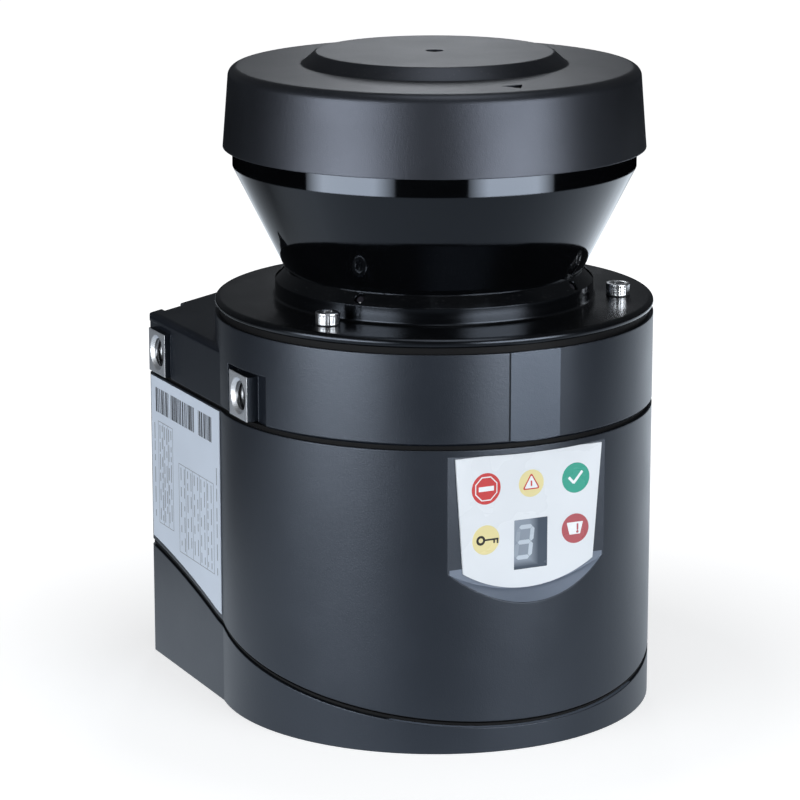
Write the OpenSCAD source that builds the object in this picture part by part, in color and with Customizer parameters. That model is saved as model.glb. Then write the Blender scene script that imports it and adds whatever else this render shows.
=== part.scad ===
// Safety laser scanner: round scanning head on a two-part cast housing with a wedge-shaped base.
// Millimetres. The origin lies on the scan axis in the base plane, the front faces -Y.

/* [Housing] */
// Outer radius of the round housing
body_r = 51; // [50.5:0.5:54]
// How far the rear block's side faces lie inside that radius
block_inset = 1; // [0.5:0.5:1.5]
// Distance from the scan axis to the back face
block_back = 55; // [54:0.5:60]
// Height of the lower housing's top edge
seam_z = 70.3; // [68.5:0.1:74]
// Height of the upper housing's round part
upper_h = 20.6; // [20.2:0.1:24]
// How far the side edges of the rear block's roof lie below the deck
block_drop = 6.9; // [5:0.1:7.4]
// Slope of that roof from its side edges up to the middle
roof_slope = 11; // [9.5:0.5:13]
// Wall thickness of the castings
wall = 2.6; // [2.2:0.1:3]
// Thickness of the deck under the scanning head
deck_t = 4; // [3.6:0.1:5]
// Radius of the rear block's upright edges
block_edge_r = 1.6; // [1:0.1:3]
// Width of the flat strip down the front of the upper housing
facet_w = 12.4; // [6:0.2:16]

/* [Seams] */
// Height of the groove between the housings
seam_gap = 1; // [0.8:0.1:1.4]
// Height of the groove above the base
base_gap = 1.5; // [1:0.1:2]
// Depth of the grooves behind the outer faces
seam_depth = 0.9; // [0.6:0.1:1.2]
// Thickness of the seal under the scanning head
cover_seal_t = 1.4; // [1:0.1:2]
// Width of the seal under the scanning head
seal_w = 4; // [3:0.1:5]
// Width of the seals in the grooves
slim_seal_w = 2.4; // [2:0.1:2.6]

/* [Base] */
// Height of the base at the front
base_front_z = 5.6; // [5.2:0.1:8]
// Height of the base where its top edge starts to curve
base_mid_z = 18.9; // [18:0.1:21]
// Distance behind the axis where that curve starts
base_mid_y = 14; // [10:0.5:18]
// Height of the base at the back
base_rear_z = 27.2; // [26:0.1:29]
// Rise of the curve above its chord
base_bulge = 0.9; // [0.5:0.1:1.6]
// Thickness of the bottom plate
base_plate_t = 3; // [2.6:0.1:3.4]
// Width of the cable recess at the back
recess_w = 28; // [24:0.5:34]
// Height of the cable recess
recess_h = 18.4; // [18:0.1:20]
// Depth of the cable recess
recess_d = 14; // [13:0.5:16]

/* [Scanning head] */
// Height of the cover's flange rim
flange_t = 2.2; // [1.8:0.1:3]
// Radius of the collar at the foot of the window
collar_r = 37; // [36.5:0.1:38.5]
// Height of the collar's upright wall
collar_h = 3.8; // [3.6:0.1:6]
// Radius at the narrow end of the window
foot_r = 34.6; // [34.2:0.1:35.4]
// Height of the chamfer between the collar and the window
foot_rise = 2.6; // [2.2:0.1:3.4]
// Radius at the wide end of the window
band_r = 46.6; // [45.6:0.1:47.6]
// Height of the window's cone
cone_h = 24.1; // [23:0.1:27]
// Height of the upright band that shows below the cap
band_h = 4.4; // [3.4:0.1:6]
// Wall thickness of the window
window_t = 2; // [1.6:0.1:2.2]
// Number of screws that hold the cover
cover_screw_n = 3; // [3:1:4]
// Radius of the circle of cover screws
cover_screw_circle_r = 42.7; // [42.2:0.1:43.4]

/* [Cap] */
// Radius of the cap at its lower edge
cap_r = 48.8; // [48.6:0.1:50.5]
// Height of the cap
cap_h = 21.6; // [20.8:0.1:23]
// How far the cap's side leans in towards the top
cap_draft = 1.3; // [0.4:0.1:2]
// Radius of the cap's rounded top edge
cap_edge_r = 2.3; // [1.5:0.1:3]
// Radius of the raised disc on top
disc_r = 28; // [27:0.5:31]
// Height of the raised disc
disc_rise = 3.2; // [2.2:0.1:3.6]
// Wall thickness of the cap
cap_t = 2.4; // [2:0.1:2.6]

/* [Display] */
// Depth of the display's flat below the round front
display_depth = 4; // [3.4:0.1:4.6]
// Height of the display's pocket
pocket_h = 32.2; // [29.6:0.1:34]
// Lean of the ledge under the display, away from upright
ledge_tilt = 58; // [50:1:62]
// Gap between the seam and the display's pocket
pocket_drop = 1.4; // [1:0.1:2.4]
// Width of the display film along its top edge
film_top_w = 36.7; // [35.5:0.1:37.4]
// Width of the display film at its lower corners
film_low_w = 31.8; // [31:0.1:34]
// Thickness of the display film
film_t = 0.5; // [0.3:0.1:0.8]
// Width of the digit's window
digit_w = 8.4; // [7:0.1:9.4]
// Height of the digit's window
digit_h = 11.5; // [10:0.1:13]
// Spacing of the lamps from the middle column to the side columns
lamp_dx = 11.3; // [10.4:0.1:11.6]
// Spacing of the two rows of lamps
lamp_dz = 11.8; // [11:0.1:12.6]

/* [Fastening] */
// Width of a side boss's machined face
boss_w = 10; // [9.6:0.1:11]
// Height of a side boss's machined face
boss_h = 10.4; // [10:0.1:11]
// How far the machined faces stand out beyond the round housing
boss_out = 0.1; // [0:0.1:2]
// Distance of the front bosses from the scan axis
front_boss_y = -3; // [-6.5:0.1:-2]
// Distance of the rear bosses from the scan axis
rear_boss_y = 46.5; // [45:0.1:47]
// Core radius of the side threads
side_core_r = 3.4; // [2.5:0.1:3.6]
// Depth of the side threads
side_thread_l = 9; // [7:0.5:9.5]
// Core radius of the rear threads
rear_core_r = 2.1; // [1.65:0.05:2.5]
// Depth of the rear threads
rear_thread_l = 8; // [6:0.5:9]
// Sideways spacing of the rear threads
rear_dx = 60; // [50:1:62]
// Height of the lower pair of rear threads
rear_low_z = 37; // [36.5:0.5:40]
// Height of the upper pair of rear threads
rear_high_z = 78; // [77.5:0.1:78.4]

/* [Scanner] */
// Height of the scan plane
scan_z = 116; // [115.5:0.1:116.5]
// Radius of the mirror seen along the scan axis
mirror_r = 15; // [13:0.1:15]
// Thickness of the mirror
mirror_t = 2; // [1.5:0.1:2.2]
// Radius of the rotor's shaft
shaft_r = 2; // [1.5:0.1:2.5]
// Number of slots in the encoder disc
encoder_slots = 45; // [24:1:60]
// Number of stator teeth
stator_teeth = 9; // [6:3:12]
// Radius of the receiving lens
lens_r = 22; // [20:0.5:22.5]
// Radius of curvature of the lens faces
lens_curve_r = 60; // [55:1:90]

/* [Hidden] */
$fn = 96;
eps = 0.01;
fit = 0.15;          // gap between pieces that are put together
run_gap = 0.03;      // radial clearance of the bearings on the shaft

block_half_w = body_r - block_inset;
upper_z = seam_z + seam_gap;
deck_z = upper_z + upper_h;
deck_under_z = deck_z - deck_t;
block_top_z = deck_z - block_drop;
roof_under_z = block_top_z - wall;
inner_r = body_r - wall;

flange_z = deck_z + cover_seal_t;
flange_top = flange_z + flange_t;
collar_top = flange_top + collar_h;
foot_top = collar_top + foot_rise;
band_z = foot_top + cone_h;
cap_z = band_z + band_h;
cover_open_r = collar_r - window_t;
foot_fillet = 0.5;                       // rounding between the flange and the collar
cap_lip = 3;                             // how far the window's band reaches up inside the cap
window_top = cap_z + cap_lip;
cap_top = cap_z + cap_h;
annulus_z = cap_top - disc_rise;
cap_top_r = cap_r - cap_draft;

display_y = -(body_r - display_depth);
pocket_top = seam_z - pocket_drop;
pocket_half_w = sqrt(pow(body_r, 2) - pow(display_y, 2));
film_top = pocket_top - 0.6;
film_low = pocket_top - pocket_h;
ledge_r = 45;                            // radius of the sloped ledge under the film
film_arc_r = 30;                         // radius of the film's lower edge
film_x0 = 0.3;                           // middle of the film
film_y = display_y - film_t;
lamp_x0 = 0.8;                           // middle column of lamps
lamp_top_z = film_top - 7.5;
digit_z = lamp_top_z - 13.9;
lamp_r = 2.6;

base_floor_t = 3;                        // floor of the lower housing
recess_wall = 2.4;
screw_m3_r = 1.5;
m3_head_r = 2.75;
m3_head_h = 3;
m3_flat_head_h = 2;
m3_key_af = 2.5;
screw_m4_r = 2;
m4_head_r = 3.5;
m4_head_h = 4;
m4_key_af = 3;
hole_gap = 0.2;                          // room around a screw's shank or head
cover_screw_len = 7;
frame_screw_len = 6;
plug_screw_rear_l = 30;
plug_screw_front_l = 20;
plug_head_z = 3.6;                       // underside of the plug screws' heads
housing_head_z = 34;                     // underside of the housing screws' heads
housing_screw_bite = 9;                  // how far those screws reach above the seam
board_screw_len = 22;
plug_post_top = 40;                      // top of the posts for the plug screws
plug_tap_top = 36;                       // top of the threads in them

// Screws: a pair in the rear block and a pair in the round front, at these distances inside
plug_screw_rear = [12, 11];
plug_screw_front = 12.6;
plug_screw_front_a = 39;
housing_screw_rear = [7, 25];
housing_screw_front = 7.1;
housing_screw_front_a = 30;
post_r = 4.6;

frame_seat_z = deck_z - 1.9;
frame_flange_t = 2.9;
frame_flange_r = 36.7;
frame_bore_r = 25.7;
deck_open_r = 28;
frame_top_z = scan_z + 29.6;
frame_plate_t = 3;
frame_plate_r = 21;                      // round plate that carries the motor
frame_arm_w = 28;                        // arm from the column to that plate
column_in_r = 26;
column_out_r = 31;
column_half_a = 32;
frame_screw_r = 31.5;
frame_screw_a = [50, 130, 230, 310];

holder_r = mirror_r + 1.5;
holder_top = scan_z + 19.5;
encoder_t = 0.6;
encoder_r = 22.5;
bell_z = holder_top + encoder_t;
bell_t = 1.6;
bell_r = 19;
bell_top = bell_z + 5.9;
magnet_r = 17.5;
magnet_t = 1.4;
stator_r = 15.6;
stator_z = bell_z + bell_t + 0.5;
stator_t = 3.6;
tube_r = 7.5;                            // tube that holds both bearings
tube_bore_r = 4;
bearing_r = 5.5;
bearing_w = 4;
bearing_low_z = bell_z + 2.2;
bearing_high_z = frame_top_z - 1.6;
tube_top = bearing_high_z + bearing_w + 0.2;
shaft_low_z = scan_z + 6;
shaft_top = tube_top + 0.5;

lens_z = frame_seat_z + 0.4;
lens_edge = 2.4;
lens_seat_r = lens_r - 0.8;               // inner edge of the seats above and below the lens
lens_hole_r = 4.2;
barrel_top = frame_seat_z + 4.2;
barrel_low = frame_seat_z - 31;
barrel_low_r = 10;

board_t = 1.6;
main_board_y = 18;
logic_board_y = 32;
board_gap = 0.4;                         // room between the boards and the screw posts
board_half_w = block_half_w - housing_screw_rear[0] - post_r - board_gap;
board_hole_in = 5;                       // how far the boards' holes lie inside their sides
board_low_z = 33;
board_top_z = seam_z - 3.5;
post_x = board_half_w - board_hole_in;
post_z = [board_low_z + 4, board_top_z - 4];

// ---------- shared outlines ----------

// A left and a right place in the rear block, given their distances inside its side and back
function rear_pair(inside) =
    [for (s = [-1, 1]) [s * (block_half_w - inside[0]), block_back - inside[1]]];

// A left and a right place in the round front, given their distance inside the wall's face
// and their angle in front of the sides
function front_pair(inside, angle) =
    [for (s = [-1, 1]) (body_r - inside) * [s * cos(angle), -sin(angle)]];

// Height of the base's straight top edge at a distance y
function base_line(y) =
    base_front_z + (base_mid_z - base_front_z) * (y + body_r) / (base_mid_y + body_r);

// Outline of the housing seen from above, set in by a distance
module plan(inset = 0) {
    half = block_half_w - inset;
    back = block_back - inset;
    r = max(block_edge_r - inset, 0.6);
    difference() {
        union() {
            circle(r = body_r - inset);
            translate([-half, 0]) square([2 * half, back]);
        }
        for (s = [0, 1]) mirror([s, 0]) translate([half - r, back - r]) corner_waste(r);
    }
}

// What a rounded corner takes off, with the centre of the rounding at the origin and the
// rounding running from +X through an angle
module corner_waste(r, turn = 90) {
    reach = r + 1;
    difference() {
        polygon([[0, 0], [reach, 0], [reach, reach * tan(turn / 2)],
            [reach * cos(turn), reach * sin(turn)]]);
        circle(r = r, $fn = 48);
    }
}

module plan_slab(z0, z1, inset = 0) {
    translate([0, 0, z0]) linear_extrude(z1 - z0) plan(inset);
}

// Slab across the whole width whose side view is given in Y and Z
module side_slab(rise) {
    translate([-body_r - 5, 0, rise]) rotate([90, 0, 90]) linear_extrude(2 * body_r + 10)
        children();
}

// Everything below the base's top edge, raised by a distance: the edge rises in a straight
// line from the front, then follows a shallow arc to the back
module below_parting(rise = 0) {
    low = -20;
    a = [base_mid_y, base_mid_z];
    b = [block_back, base_rear_z];
    chord = norm(b - a);
    arc_r = (pow(chord / 2, 2) + pow(base_bulge, 2)) / (2 * base_bulge);
    dir = (b - a) / chord;
    up = [-dir[1], dir[0]];
    centre = (a + b) / 2 + (base_bulge - arc_r) * up;
    side_slab(rise) polygon([[-body_r - 5, low], [-body_r - 5, base_line(-body_r - 5)], a, b,
        [block_back + 5, base_rear_z], [block_back + 5, low]]);
    side_slab(rise) intersection() {
        translate(centre) circle(r = arc_r, $fn = 360);
        polygon([a - 4 * up, b - 4 * up, b + 4 * up, a + 4 * up]);
    }
}

// Points of an arc in the drawing plane, from one angle to another
function arc(centre, r, from, to, n = 12) =
    [for (i = [0 : n]) centre + r * [cos(from + (to - from) * i / n), sin(from + (to - from) * i / n)]];

// Blind hole along Y that opens on the back face
module back_hole(x, z, r, l) {
    translate([x, block_back + eps, z]) rotate([90, 0, 0]) cylinder(r = r, h = l + eps);
}

// Cap screw with its head on z = 0 and its shank below
module cap_screw(r, len, head_r, head_h, key_af) {
    translate([0, 0, -len]) cylinder(r = r, h = len);
    difference() {
        cylinder(r = head_r, h = head_h);
        translate([0, 0, head_h * 0.45]) cylinder(r = key_af / sqrt(3), h = head_h, $fn = 6);
    }
}

module at_cover_screws() {
    for (i = [0 : cover_screw_n - 1])
        rotate([0, 0, 30 + i * 360 / cover_screw_n + 180])
            translate([cover_screw_circle_r, 0, 0]) children();
}

module at_frame_screws() {
    for (a = frame_screw_a) rotate([0, 0, a - 90]) translate([frame_screw_r, 0, 0]) children();
}

// ---------- housing ----------

plug_screw_at = concat(rear_pair(plug_screw_rear), front_pair(plug_screw_front, plug_screw_front_a));
housing_screw_at = concat(rear_pair(housing_screw_rear),
    front_pair(housing_screw_front, housing_screw_front_a));
recess_rim = 1.2;                        // width of the side recesses around the bosses
front_recess_d = 2.8;
front_recess_run = 6;                    // how far the front recess runs on before its boss
rear_recess_d = 1.5;
rib_out = 0.6;                           // how far the base seal's rib stands out of its groove's floor
notch_in = 3.2;                          // place, width, length and depth of the roof's notches
notch_w = 5.3;
notch_l = 3.4;
notch_d = 1.1;
side_boss_z = upper_z + boss_h / 2 + 0.2;

// Display pocket: a flat across the round front that ends below in a curved, leaning ledge
module display_pocket() {
    intersection() {
        translate([-pocket_half_w - 2, display_y - 10, film_low - 8])
            cube([2 * pocket_half_w + 4, 10, pocket_top - film_low + 8]);
        translate([0, display_y, film_low]) rotate([-ledge_tilt, 0, 0])
            translate([0, -ledge_r, -20]) cylinder(r = ledge_r, h = 20 + 2 * pocket_h, $fn = 180);
    }
}

module lower_housing() {
    pad_y = display_y + wall;
    color("#2b2f36") difference() {
        union() {
            difference() {
                plan_slab(0, seam_z);
                difference() {
                    plan_slab(0, seam_z + 1, wall);
                    below_parting(base_gap + base_floor_t);
                }
            }
            intersection() {
                plan_slab(0, seam_z);
                translate([-pocket_half_w - 3, -body_r, film_low - 8])
                    cube([2 * pocket_half_w + 6, pad_y + body_r, seam_z - film_low + 8]);
            }
            intersection() {
                plan_slab(0, seam_z);
                union() {
                    for (p = housing_screw_at) translate(p) cylinder(r = post_r, h = seam_z);
                    for (p = plug_screw_at) translate(p) cylinder(r = post_r, h = plug_post_top);
                    for (s = [-1, 1]) translate([s * rear_dx / 2, block_back, rear_low_z])
                        rotate([90, 0, 0]) cylinder(r = rear_core_r + 3, h = rear_thread_l + 3);
                    for (s = [-1, 1], z = post_z) translate([s * post_x, block_back, z])
                        rotate([90, 0, 0])
                            cylinder(r = 3.5, h = block_back - logic_board_y - board_t);
                }
            }
        }
        below_parting(base_gap);
        display_pocket();
        digit_hole(fit);
        lamp_holes(fit);
        for (p = housing_screw_at) translate(p) {
            cylinder(r = screw_m4_r + hole_gap, h = seam_z + 1);
            cylinder(r = m4_head_r + hole_gap, h = housing_head_z);
        }
        for (p = plug_screw_at) translate(p) cylinder(r = screw_m4_r, h = plug_tap_top);
        for (s = [-1, 1]) back_hole(s * rear_dx / 2, rear_low_z, rear_core_r, rear_thread_l);
        for (s = [-1, 1], z = post_z) translate([s * post_x, logic_board_y + board_t + 8, z])
            rotate([90, 0, 0]) cylinder(r = screw_m3_r, h = 20);
        connector_hole();
    }
}

// The digit's window and the lamps' holes through the pocket's floor
module digit_hole(gap = 0) {
    translate([lamp_x0 - digit_w / 2 - gap, film_y - 1, digit_z - digit_h / 2 - gap])
        cube([digit_w + 2 * gap, wall + film_t + 6, digit_h + 2 * gap]);
}

module at_lamps() {
    for (p = [[-1, 0], [0, 0], [1, 0], [-1, -1], [1, -1]])
        translate([lamp_x0 + p[0] * lamp_dx, 0, lamp_top_z + p[1] * lamp_dz]) children();
}

module lamp_holes(gap = 0) {
    at_lamps() translate([0, film_y - 1, 0]) rotate([-90, 0, 0])
        cylinder(r = lamp_r + gap, h = wall + film_t + 6);
}

connector_w = 34;
connector_d = 8;
connector_y = 26;
module connector_hole() {
    translate([-connector_w / 2 - 1, connector_y - connector_d / 2 - 1, 5])
        cube([connector_w + 2, connector_d + 2, 30]);
}

// Height of the pitched roof's side edge once the block is set in by a distance
function roof_rim(inset = 0) = block_top_z + inset * (tan(roof_slope) - 1 / cos(roof_slope));

// Half width of the level strip in the middle of the roof
function roof_mid(inset = 0) =
    block_half_w - inset - (deck_z - inset - roof_rim(inset)) / tan(roof_slope);

// Cross-section of the rear block: level in the middle, pitched down to both side edges
module roof_slab(low, y0, y1, inset = 0) {
    half = block_half_w - inset;
    translate([0, y1, 0]) rotate([90, 0, 0]) linear_extrude(y1 - y0)
        polygon([[-half, low], [half, low], [half, roof_rim(inset)],
            [roof_mid(inset), deck_z - inset], [-roof_mid(inset), deck_z - inset],
            [-half, roof_rim(inset)]]);
}

// Both rear corners of the roof: X runs up the slope, Y to the back, Z square out of the roof
module at_roof_corners() {
    for (s = [0, 1]) mirror([s, 0, 0]) translate([-block_half_w, block_back, block_top_z])
        rotate([0, -roof_slope, 0]) children();
}

// Rear block of the upper housing with rounded roof edges
module upper_block() {
    r = block_edge_r;
    slope_l = (block_half_w - roof_mid()) / cos(roof_slope);
    difference() {
        roof_slab(upper_z, 0, block_back);
        for (s = [0, 1]) mirror([s, 0, 0]) {
            translate([block_half_w - r, block_back - r, upper_z - 1])
                linear_extrude(upper_h + 2) corner_waste(r);
            translate([block_half_w - r, block_back + 1, roof_rim(r)])
                rotate([90, 0, 0]) linear_extrude(block_back + 2) corner_waste(r, 90 - roof_slope);
        }
        at_roof_corners() translate([-1, -r, -r])
            rotate([90, 0, 90]) linear_extrude(slope_l + 1.2) corner_waste(r);
        translate([-roof_mid(), block_back - r, deck_z - r])
            rotate([90, 0, 90]) linear_extrude(2 * roof_mid()) corner_waste(r);
    }
}

module at_side_bosses() {
    for (s = [0, 1], y = [front_boss_y, rear_boss_y])
        mirror([s, 0, 0]) translate([body_r + boss_out, y, side_boss_z]) children();
}

// Recesses in the outer wall that leave the side bosses standing
module side_recess() {
    top = side_boss_z + boss_h / 2 + recess_rim;
    for (s = [0, 1]) mirror([s, 0, 0]) {
        translate([body_r - front_recess_d, front_boss_y - boss_w / 2 - front_recess_run, upper_z - 1])
            cube([front_recess_d + 5, boss_w + front_recess_run + recess_rim, top - upper_z + 1]);
        translate([body_r - rear_recess_d, rear_boss_y - boss_w / 2 - recess_rim, upper_z - 1])
            cube([rear_recess_d + 5, block_back, top - upper_z + 1]);
    }
}

module upper_housing() {
    facet_y = -sqrt(pow(body_r, 2) - pow(facet_w / 2, 2));
    pad_in = 12;
    chamfer = 0.6;
    color("#2b2f36") difference() {
        union() {
            difference() {
                union() {
                    translate([0, 0, upper_z])
                        cylinder(r1 = body_r - chamfer, r2 = body_r, h = chamfer);
                    translate([0, 0, upper_z + chamfer])
                        cylinder(r = body_r, h = upper_h - chamfer);
                    upper_block();
                }
                side_recess();
                intersection() {
                    plan_slab(upper_z - 1, deck_under_z, wall + 2);
                    roof_slab(upper_z - 2, -body_r, block_back, wall);
                }
                translate([0, 0, roof_under_z - 1])
                    cylinder(r = inner_r - 2.4, h = deck_under_z - roof_under_z + 1);
            }
            // side bosses, tapped from outside
            at_side_bosses() translate([-pad_in, -boss_w / 2, -boss_h / 2])
                cube([pad_in, boss_w, boss_h]);
            // posts for the housing screws and the upper rear threads
            for (p = housing_screw_at) translate([p[0], p[1], upper_z])
                cylinder(r = post_r, h = block_top_z - 0.2 - upper_z);
            for (s = [-1, 1]) translate([s * rear_dx / 2, block_back - 1, rear_high_z])
                rotate([90, 0, 0]) cylinder(r = rear_core_r + 3, h = rear_thread_l + 2);
        }
        translate([0, 0, deck_under_z - 1]) cylinder(r = deck_open_r, h = deck_t + 2);
        translate([0, 0, frame_seat_z]) cylinder(r = frame_flange_r + fit, h = 5);
        translate([-body_r, facet_y - 10, upper_z - 1]) cube([2 * body_r, 10, upper_h + 2]);
        at_cover_screws() translate([0, 0, deck_under_z - 1])
            cylinder(r = screw_m3_r, h = deck_t + 2);
        at_frame_screws() translate([0, 0, deck_under_z - 1])
            cylinder(r = screw_m3_r, h = deck_t + 2);
        for (p = housing_screw_at) translate([p[0], p[1], upper_z - 1])
            cylinder(r = screw_m4_r, h = housing_screw_bite + 2);
        at_side_bosses() rotate([0, -90, 0]) {
            translate([0, 0, -eps]) cylinder(r = side_core_r, h = side_thread_l + eps);
            translate([0, 0, -eps]) cylinder(r1 = side_core_r + 0.8, r2 = side_core_r, h = 0.8);
        }
        for (s = [-1, 1]) back_hole(s * rear_dx / 2, rear_high_z, rear_core_r, rear_thread_l);
        // notches in the roof's back edge
        at_roof_corners() translate([notch_in, -notch_l, -notch_d])
            cube([notch_w, notch_l + 1, notch_d + 1]);
    }
}

module housing_seal() {
    color("#111111") difference() {
        plan_slab(seam_z, upper_z, seam_depth);
        plan_slab(seam_z - 1, upper_z + 1, seam_depth + slim_seal_w);
        for (p = housing_screw_at) translate([p[0], p[1], seam_z - 1])
            cylinder(r = post_r + 0.4, h = 4);
    }
}

module housing_screws() {
    color("#9a9ca0") for (p = housing_screw_at) translate([p[0], p[1], housing_head_z])
        mirror([0, 0, 1])
            cap_screw(screw_m4_r, seam_z + housing_screw_bite - housing_head_z, m4_head_r,
                m4_head_h, m4_key_af);
}

module system_plug() {
    color("#2b2f36") difference() {
        intersection() {
            plan_slab(0, base_rear_z + 2);
            below_parting();
        }
        difference() {
            plan_slab(base_plate_t, base_rear_z + 3, wall);
            translate([-recess_w / 2 - recess_wall, block_back - recess_d - recess_wall, 0])
                cube([recess_w + 2 * recess_wall, recess_d + 9, recess_h + recess_wall]);
            for (p = plug_screw_at) translate(p) cylinder(r = post_r, h = plug_post_top);
            for (s = [-1, 1], y = plug_board_post_y) translate([s * plug_board_post_x, y, 0])
                cylinder(r = 2.8, h = plug_board_z);
        }
        translate([-recess_w / 2, block_back - recess_d, -1])
            cube([recess_w, recess_d + 5, recess_h + 1]);
        translate([0, block_back, gland_z]) rotate([90, 0, 0])
            cylinder(r = gland_thread_r, h = recess_d + 6);
        for (p = plug_screw_at) translate([p[0], p[1], -1]) {
            cylinder(r = screw_m4_r + hole_gap, h = plug_post_top);
            cylinder(r = m4_head_r + hole_gap, h = 1 + plug_head_z);
        }
    }
}

module plug_screws() {
    color("#9a9ca0") for (i = [0 : 3]) translate([plug_screw_at[i][0], plug_screw_at[i][1],
        plug_head_z]) mirror([0, 0, 1])
        cap_screw(screw_m4_r, i < 2 ? plug_screw_rear_l : plug_screw_front_l, m4_head_r,
            plug_head_z - hole_gap, m4_key_af);
}

// Seal in the groove above the base, with a thin rib that stands out along its middle
module plug_seal() {
    rib_from = base_gap * 0.35;
    rib_to = base_gap * 0.65;
    color("#111111") difference() {
        union() {
            difference() {
                intersection() {
                    plan_slab(0, base_rear_z + 4, seam_depth);
                    below_parting(base_gap);
                }
                below_parting();
            }
            difference() {
                intersection() {
                    plan_slab(0, base_rear_z + 4, seam_depth - rib_out);
                    below_parting(rib_to);
                }
                below_parting(rib_from);
            }
        }
        plan_slab(-1, base_rear_z + 5, seam_depth + slim_seal_w);
    }
}

module type_label() {
    label_t = 0.15;
    label_in = 0.6;
    crease_y = sqrt(pow(body_r, 2) - pow(block_half_w, 2));
    color("white") difference() {
        translate([-block_half_w - label_t, crease_y + label_in, 10])
            cube([label_t, block_back - 2 - crease_y - label_in, seam_z - 10.4]);
        below_parting(base_gap + 1.2);
    }
}

// ---------- display ----------

module display_panel() {
    color("#eef1f4") translate([0, display_y, 0]) rotate([90, 0, 0]) linear_extrude(film_t)
        intersection() {
            translate([film_x0, 0])
                polygon([[-film_top_w / 2, film_top], [film_top_w / 2, film_top],
                    [film_low_w / 2, film_low - 1], [-film_low_w / 2, film_low - 1]]);
            translate([film_x0, film_low + fit + film_arc_r]) circle(r = film_arc_r, $fn = 180);
        }
}

display_board_y = display_y + wall + 2.2;
module display_board() {
    color("#1f5b3a") union() {
        translate([lamp_x0 - 17, display_board_y, film_low + 3])
            cube([34, board_t, film_top - film_low - 6]);
        translate([lamp_x0 - 12, display_board_y + board_t, film_top - 12]) cube([24, 3, 5]);
        for (i = [-1 : 1]) translate([lamp_x0 + i * 8 - 2.5, display_board_y + board_t, digit_z - 4])
            cube([5, 1.4, 6]);
    }
}

module digit_display() {
    color("#8d9299") translate([lamp_x0 - digit_w / 2, display_y, digit_z - digit_h / 2])
        cube([digit_w, display_board_y - display_y, digit_h]);
}

module light_pipes() {
    color("#dfe6ea") at_lamps() translate([0, display_y, 0]) rotate([-90, 0, 0])
        cylinder(r = lamp_r, h = display_board_y - display_y);
}

// ---------- scanning head ----------

module optics_cover() {
    rim_r = flange_t / 2;
    wall_low = foot_r - window_t;
    color("#101216") difference() {
        rotate_extrude() polygon(concat([[cover_open_r, flange_z]],
            arc([body_r - rim_r, flange_z + rim_r], rim_r, -90, 90),
            arc([collar_r + foot_fillet, flange_top + foot_fillet], foot_fillet, 270, 180, 5),
            [[collar_r, collar_top], [foot_r, foot_top], [band_r, band_z], [band_r, window_top],
            [band_r - window_t, window_top], [band_r - window_t, band_z],
            [wall_low, foot_top], [wall_low, collar_top], [cover_open_r, collar_top - 2.4]]));
        at_cover_screws() translate([0, 0, flange_z - 1])
            cylinder(r = screw_m3_r + 0.3, h = flange_t + 2);
        at_sensors() translate([0, 0, -4]) cylinder(r = 1.3, h = 8);
    }
}

// Middle of the collar's chamfer, looking square out of it
module at_sensors() {
    tilt = atan2(foot_rise, collar_r - foot_r);
    for (a = [-54, 36, 126, 216]) rotate([0, 0, a - 90])
        translate([(collar_r + foot_r) / 2, 0, (collar_top + foot_top) / 2])
            rotate([0, tilt, 0]) children();
}

module contamination_sensors() {
    color("#2a2a30") at_sensors() translate([0, 0, -3]) {
        cylinder(r = 1.3 - 0.05, h = 2.2);
        translate([0, 0, 2.2]) cylinder(r1 = 1.25, r2 = 0.7, h = 0.4);
    }
}

module cover_seal() {
    color("#101010") difference() {
        translate([0, 0, deck_z]) cylinder(r = body_r - seam_depth, h = cover_seal_t);
        translate([0, 0, deck_z - 1])
            cylinder(r = body_r - seam_depth - seal_w, h = cover_seal_t + 2);
        at_cover_screws() translate([0, 0, deck_z - 1])
            cylinder(r = screw_m3_r + 0.3, h = cover_seal_t + 2);
    }
}

module cover_screws() {
    color("#c9ccd0") at_cover_screws() translate([0, 0, flange_top])
        cap_screw(screw_m3_r, cover_screw_len, m3_head_r, m3_head_h, m3_key_af);
}

module cap() {
    socket_r = band_r + fit;
    hollow_r = band_r - window_t;
    under_z = annulus_z - cap_t;
    disc_under = cap_top - cap_t;
    mark_in = 7.4;
    mark_d = 0.6;
    rib_in_r = 33;
    rib_t = 1.4;
    color("#1c1e21") difference() {
        union() {
            difference() {
                rotate_extrude() polygon(concat([[0, cap_z], [cap_r, cap_z]],
                    arc([cap_top_r - cap_edge_r, annulus_z - cap_edge_r], cap_edge_r, 4, 88),
                    arc([disc_r + 2.9, annulus_z + 1.2], 0.8, 270, 230, 4),
                    arc([disc_r - 0.9, cap_top - 0.9], 0.9, 48, 90, 5), [[0, cap_top]]));
                translate([0, 0, cap_z - 1]) cylinder(r = socket_r, h = 1 + cap_lip);
                translate([0, 0, cap_z]) cylinder(r = hollow_r, h = under_z - cap_z);
                translate([0, 0, under_z - 1]) cylinder(r = disc_r - 1.5, h = disc_under - under_z + 1);
            }
            // stiffening ribs under the top
            for (a = [15 : 30 : 345]) rotate([0, 0, a])
                translate([rib_in_r, -rib_t / 2, under_z - rib_t + 0.2])
                    cube([hollow_r - rib_in_r + 0.5, rib_t, rib_t]);
        }
        translate([0, 0, cap_top - 0.8]) cylinder(r = 2, h = 2);
        // mark that shows the front
        translate([0, mark_in - cap_top_r, annulus_z - mark_d]) linear_extrude(2)
            polygon([[-2.6, 1.8], [2.6, 1.8], [0, -2.4]]);
    }
}

// ---------- scanner frame and motor ----------

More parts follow.
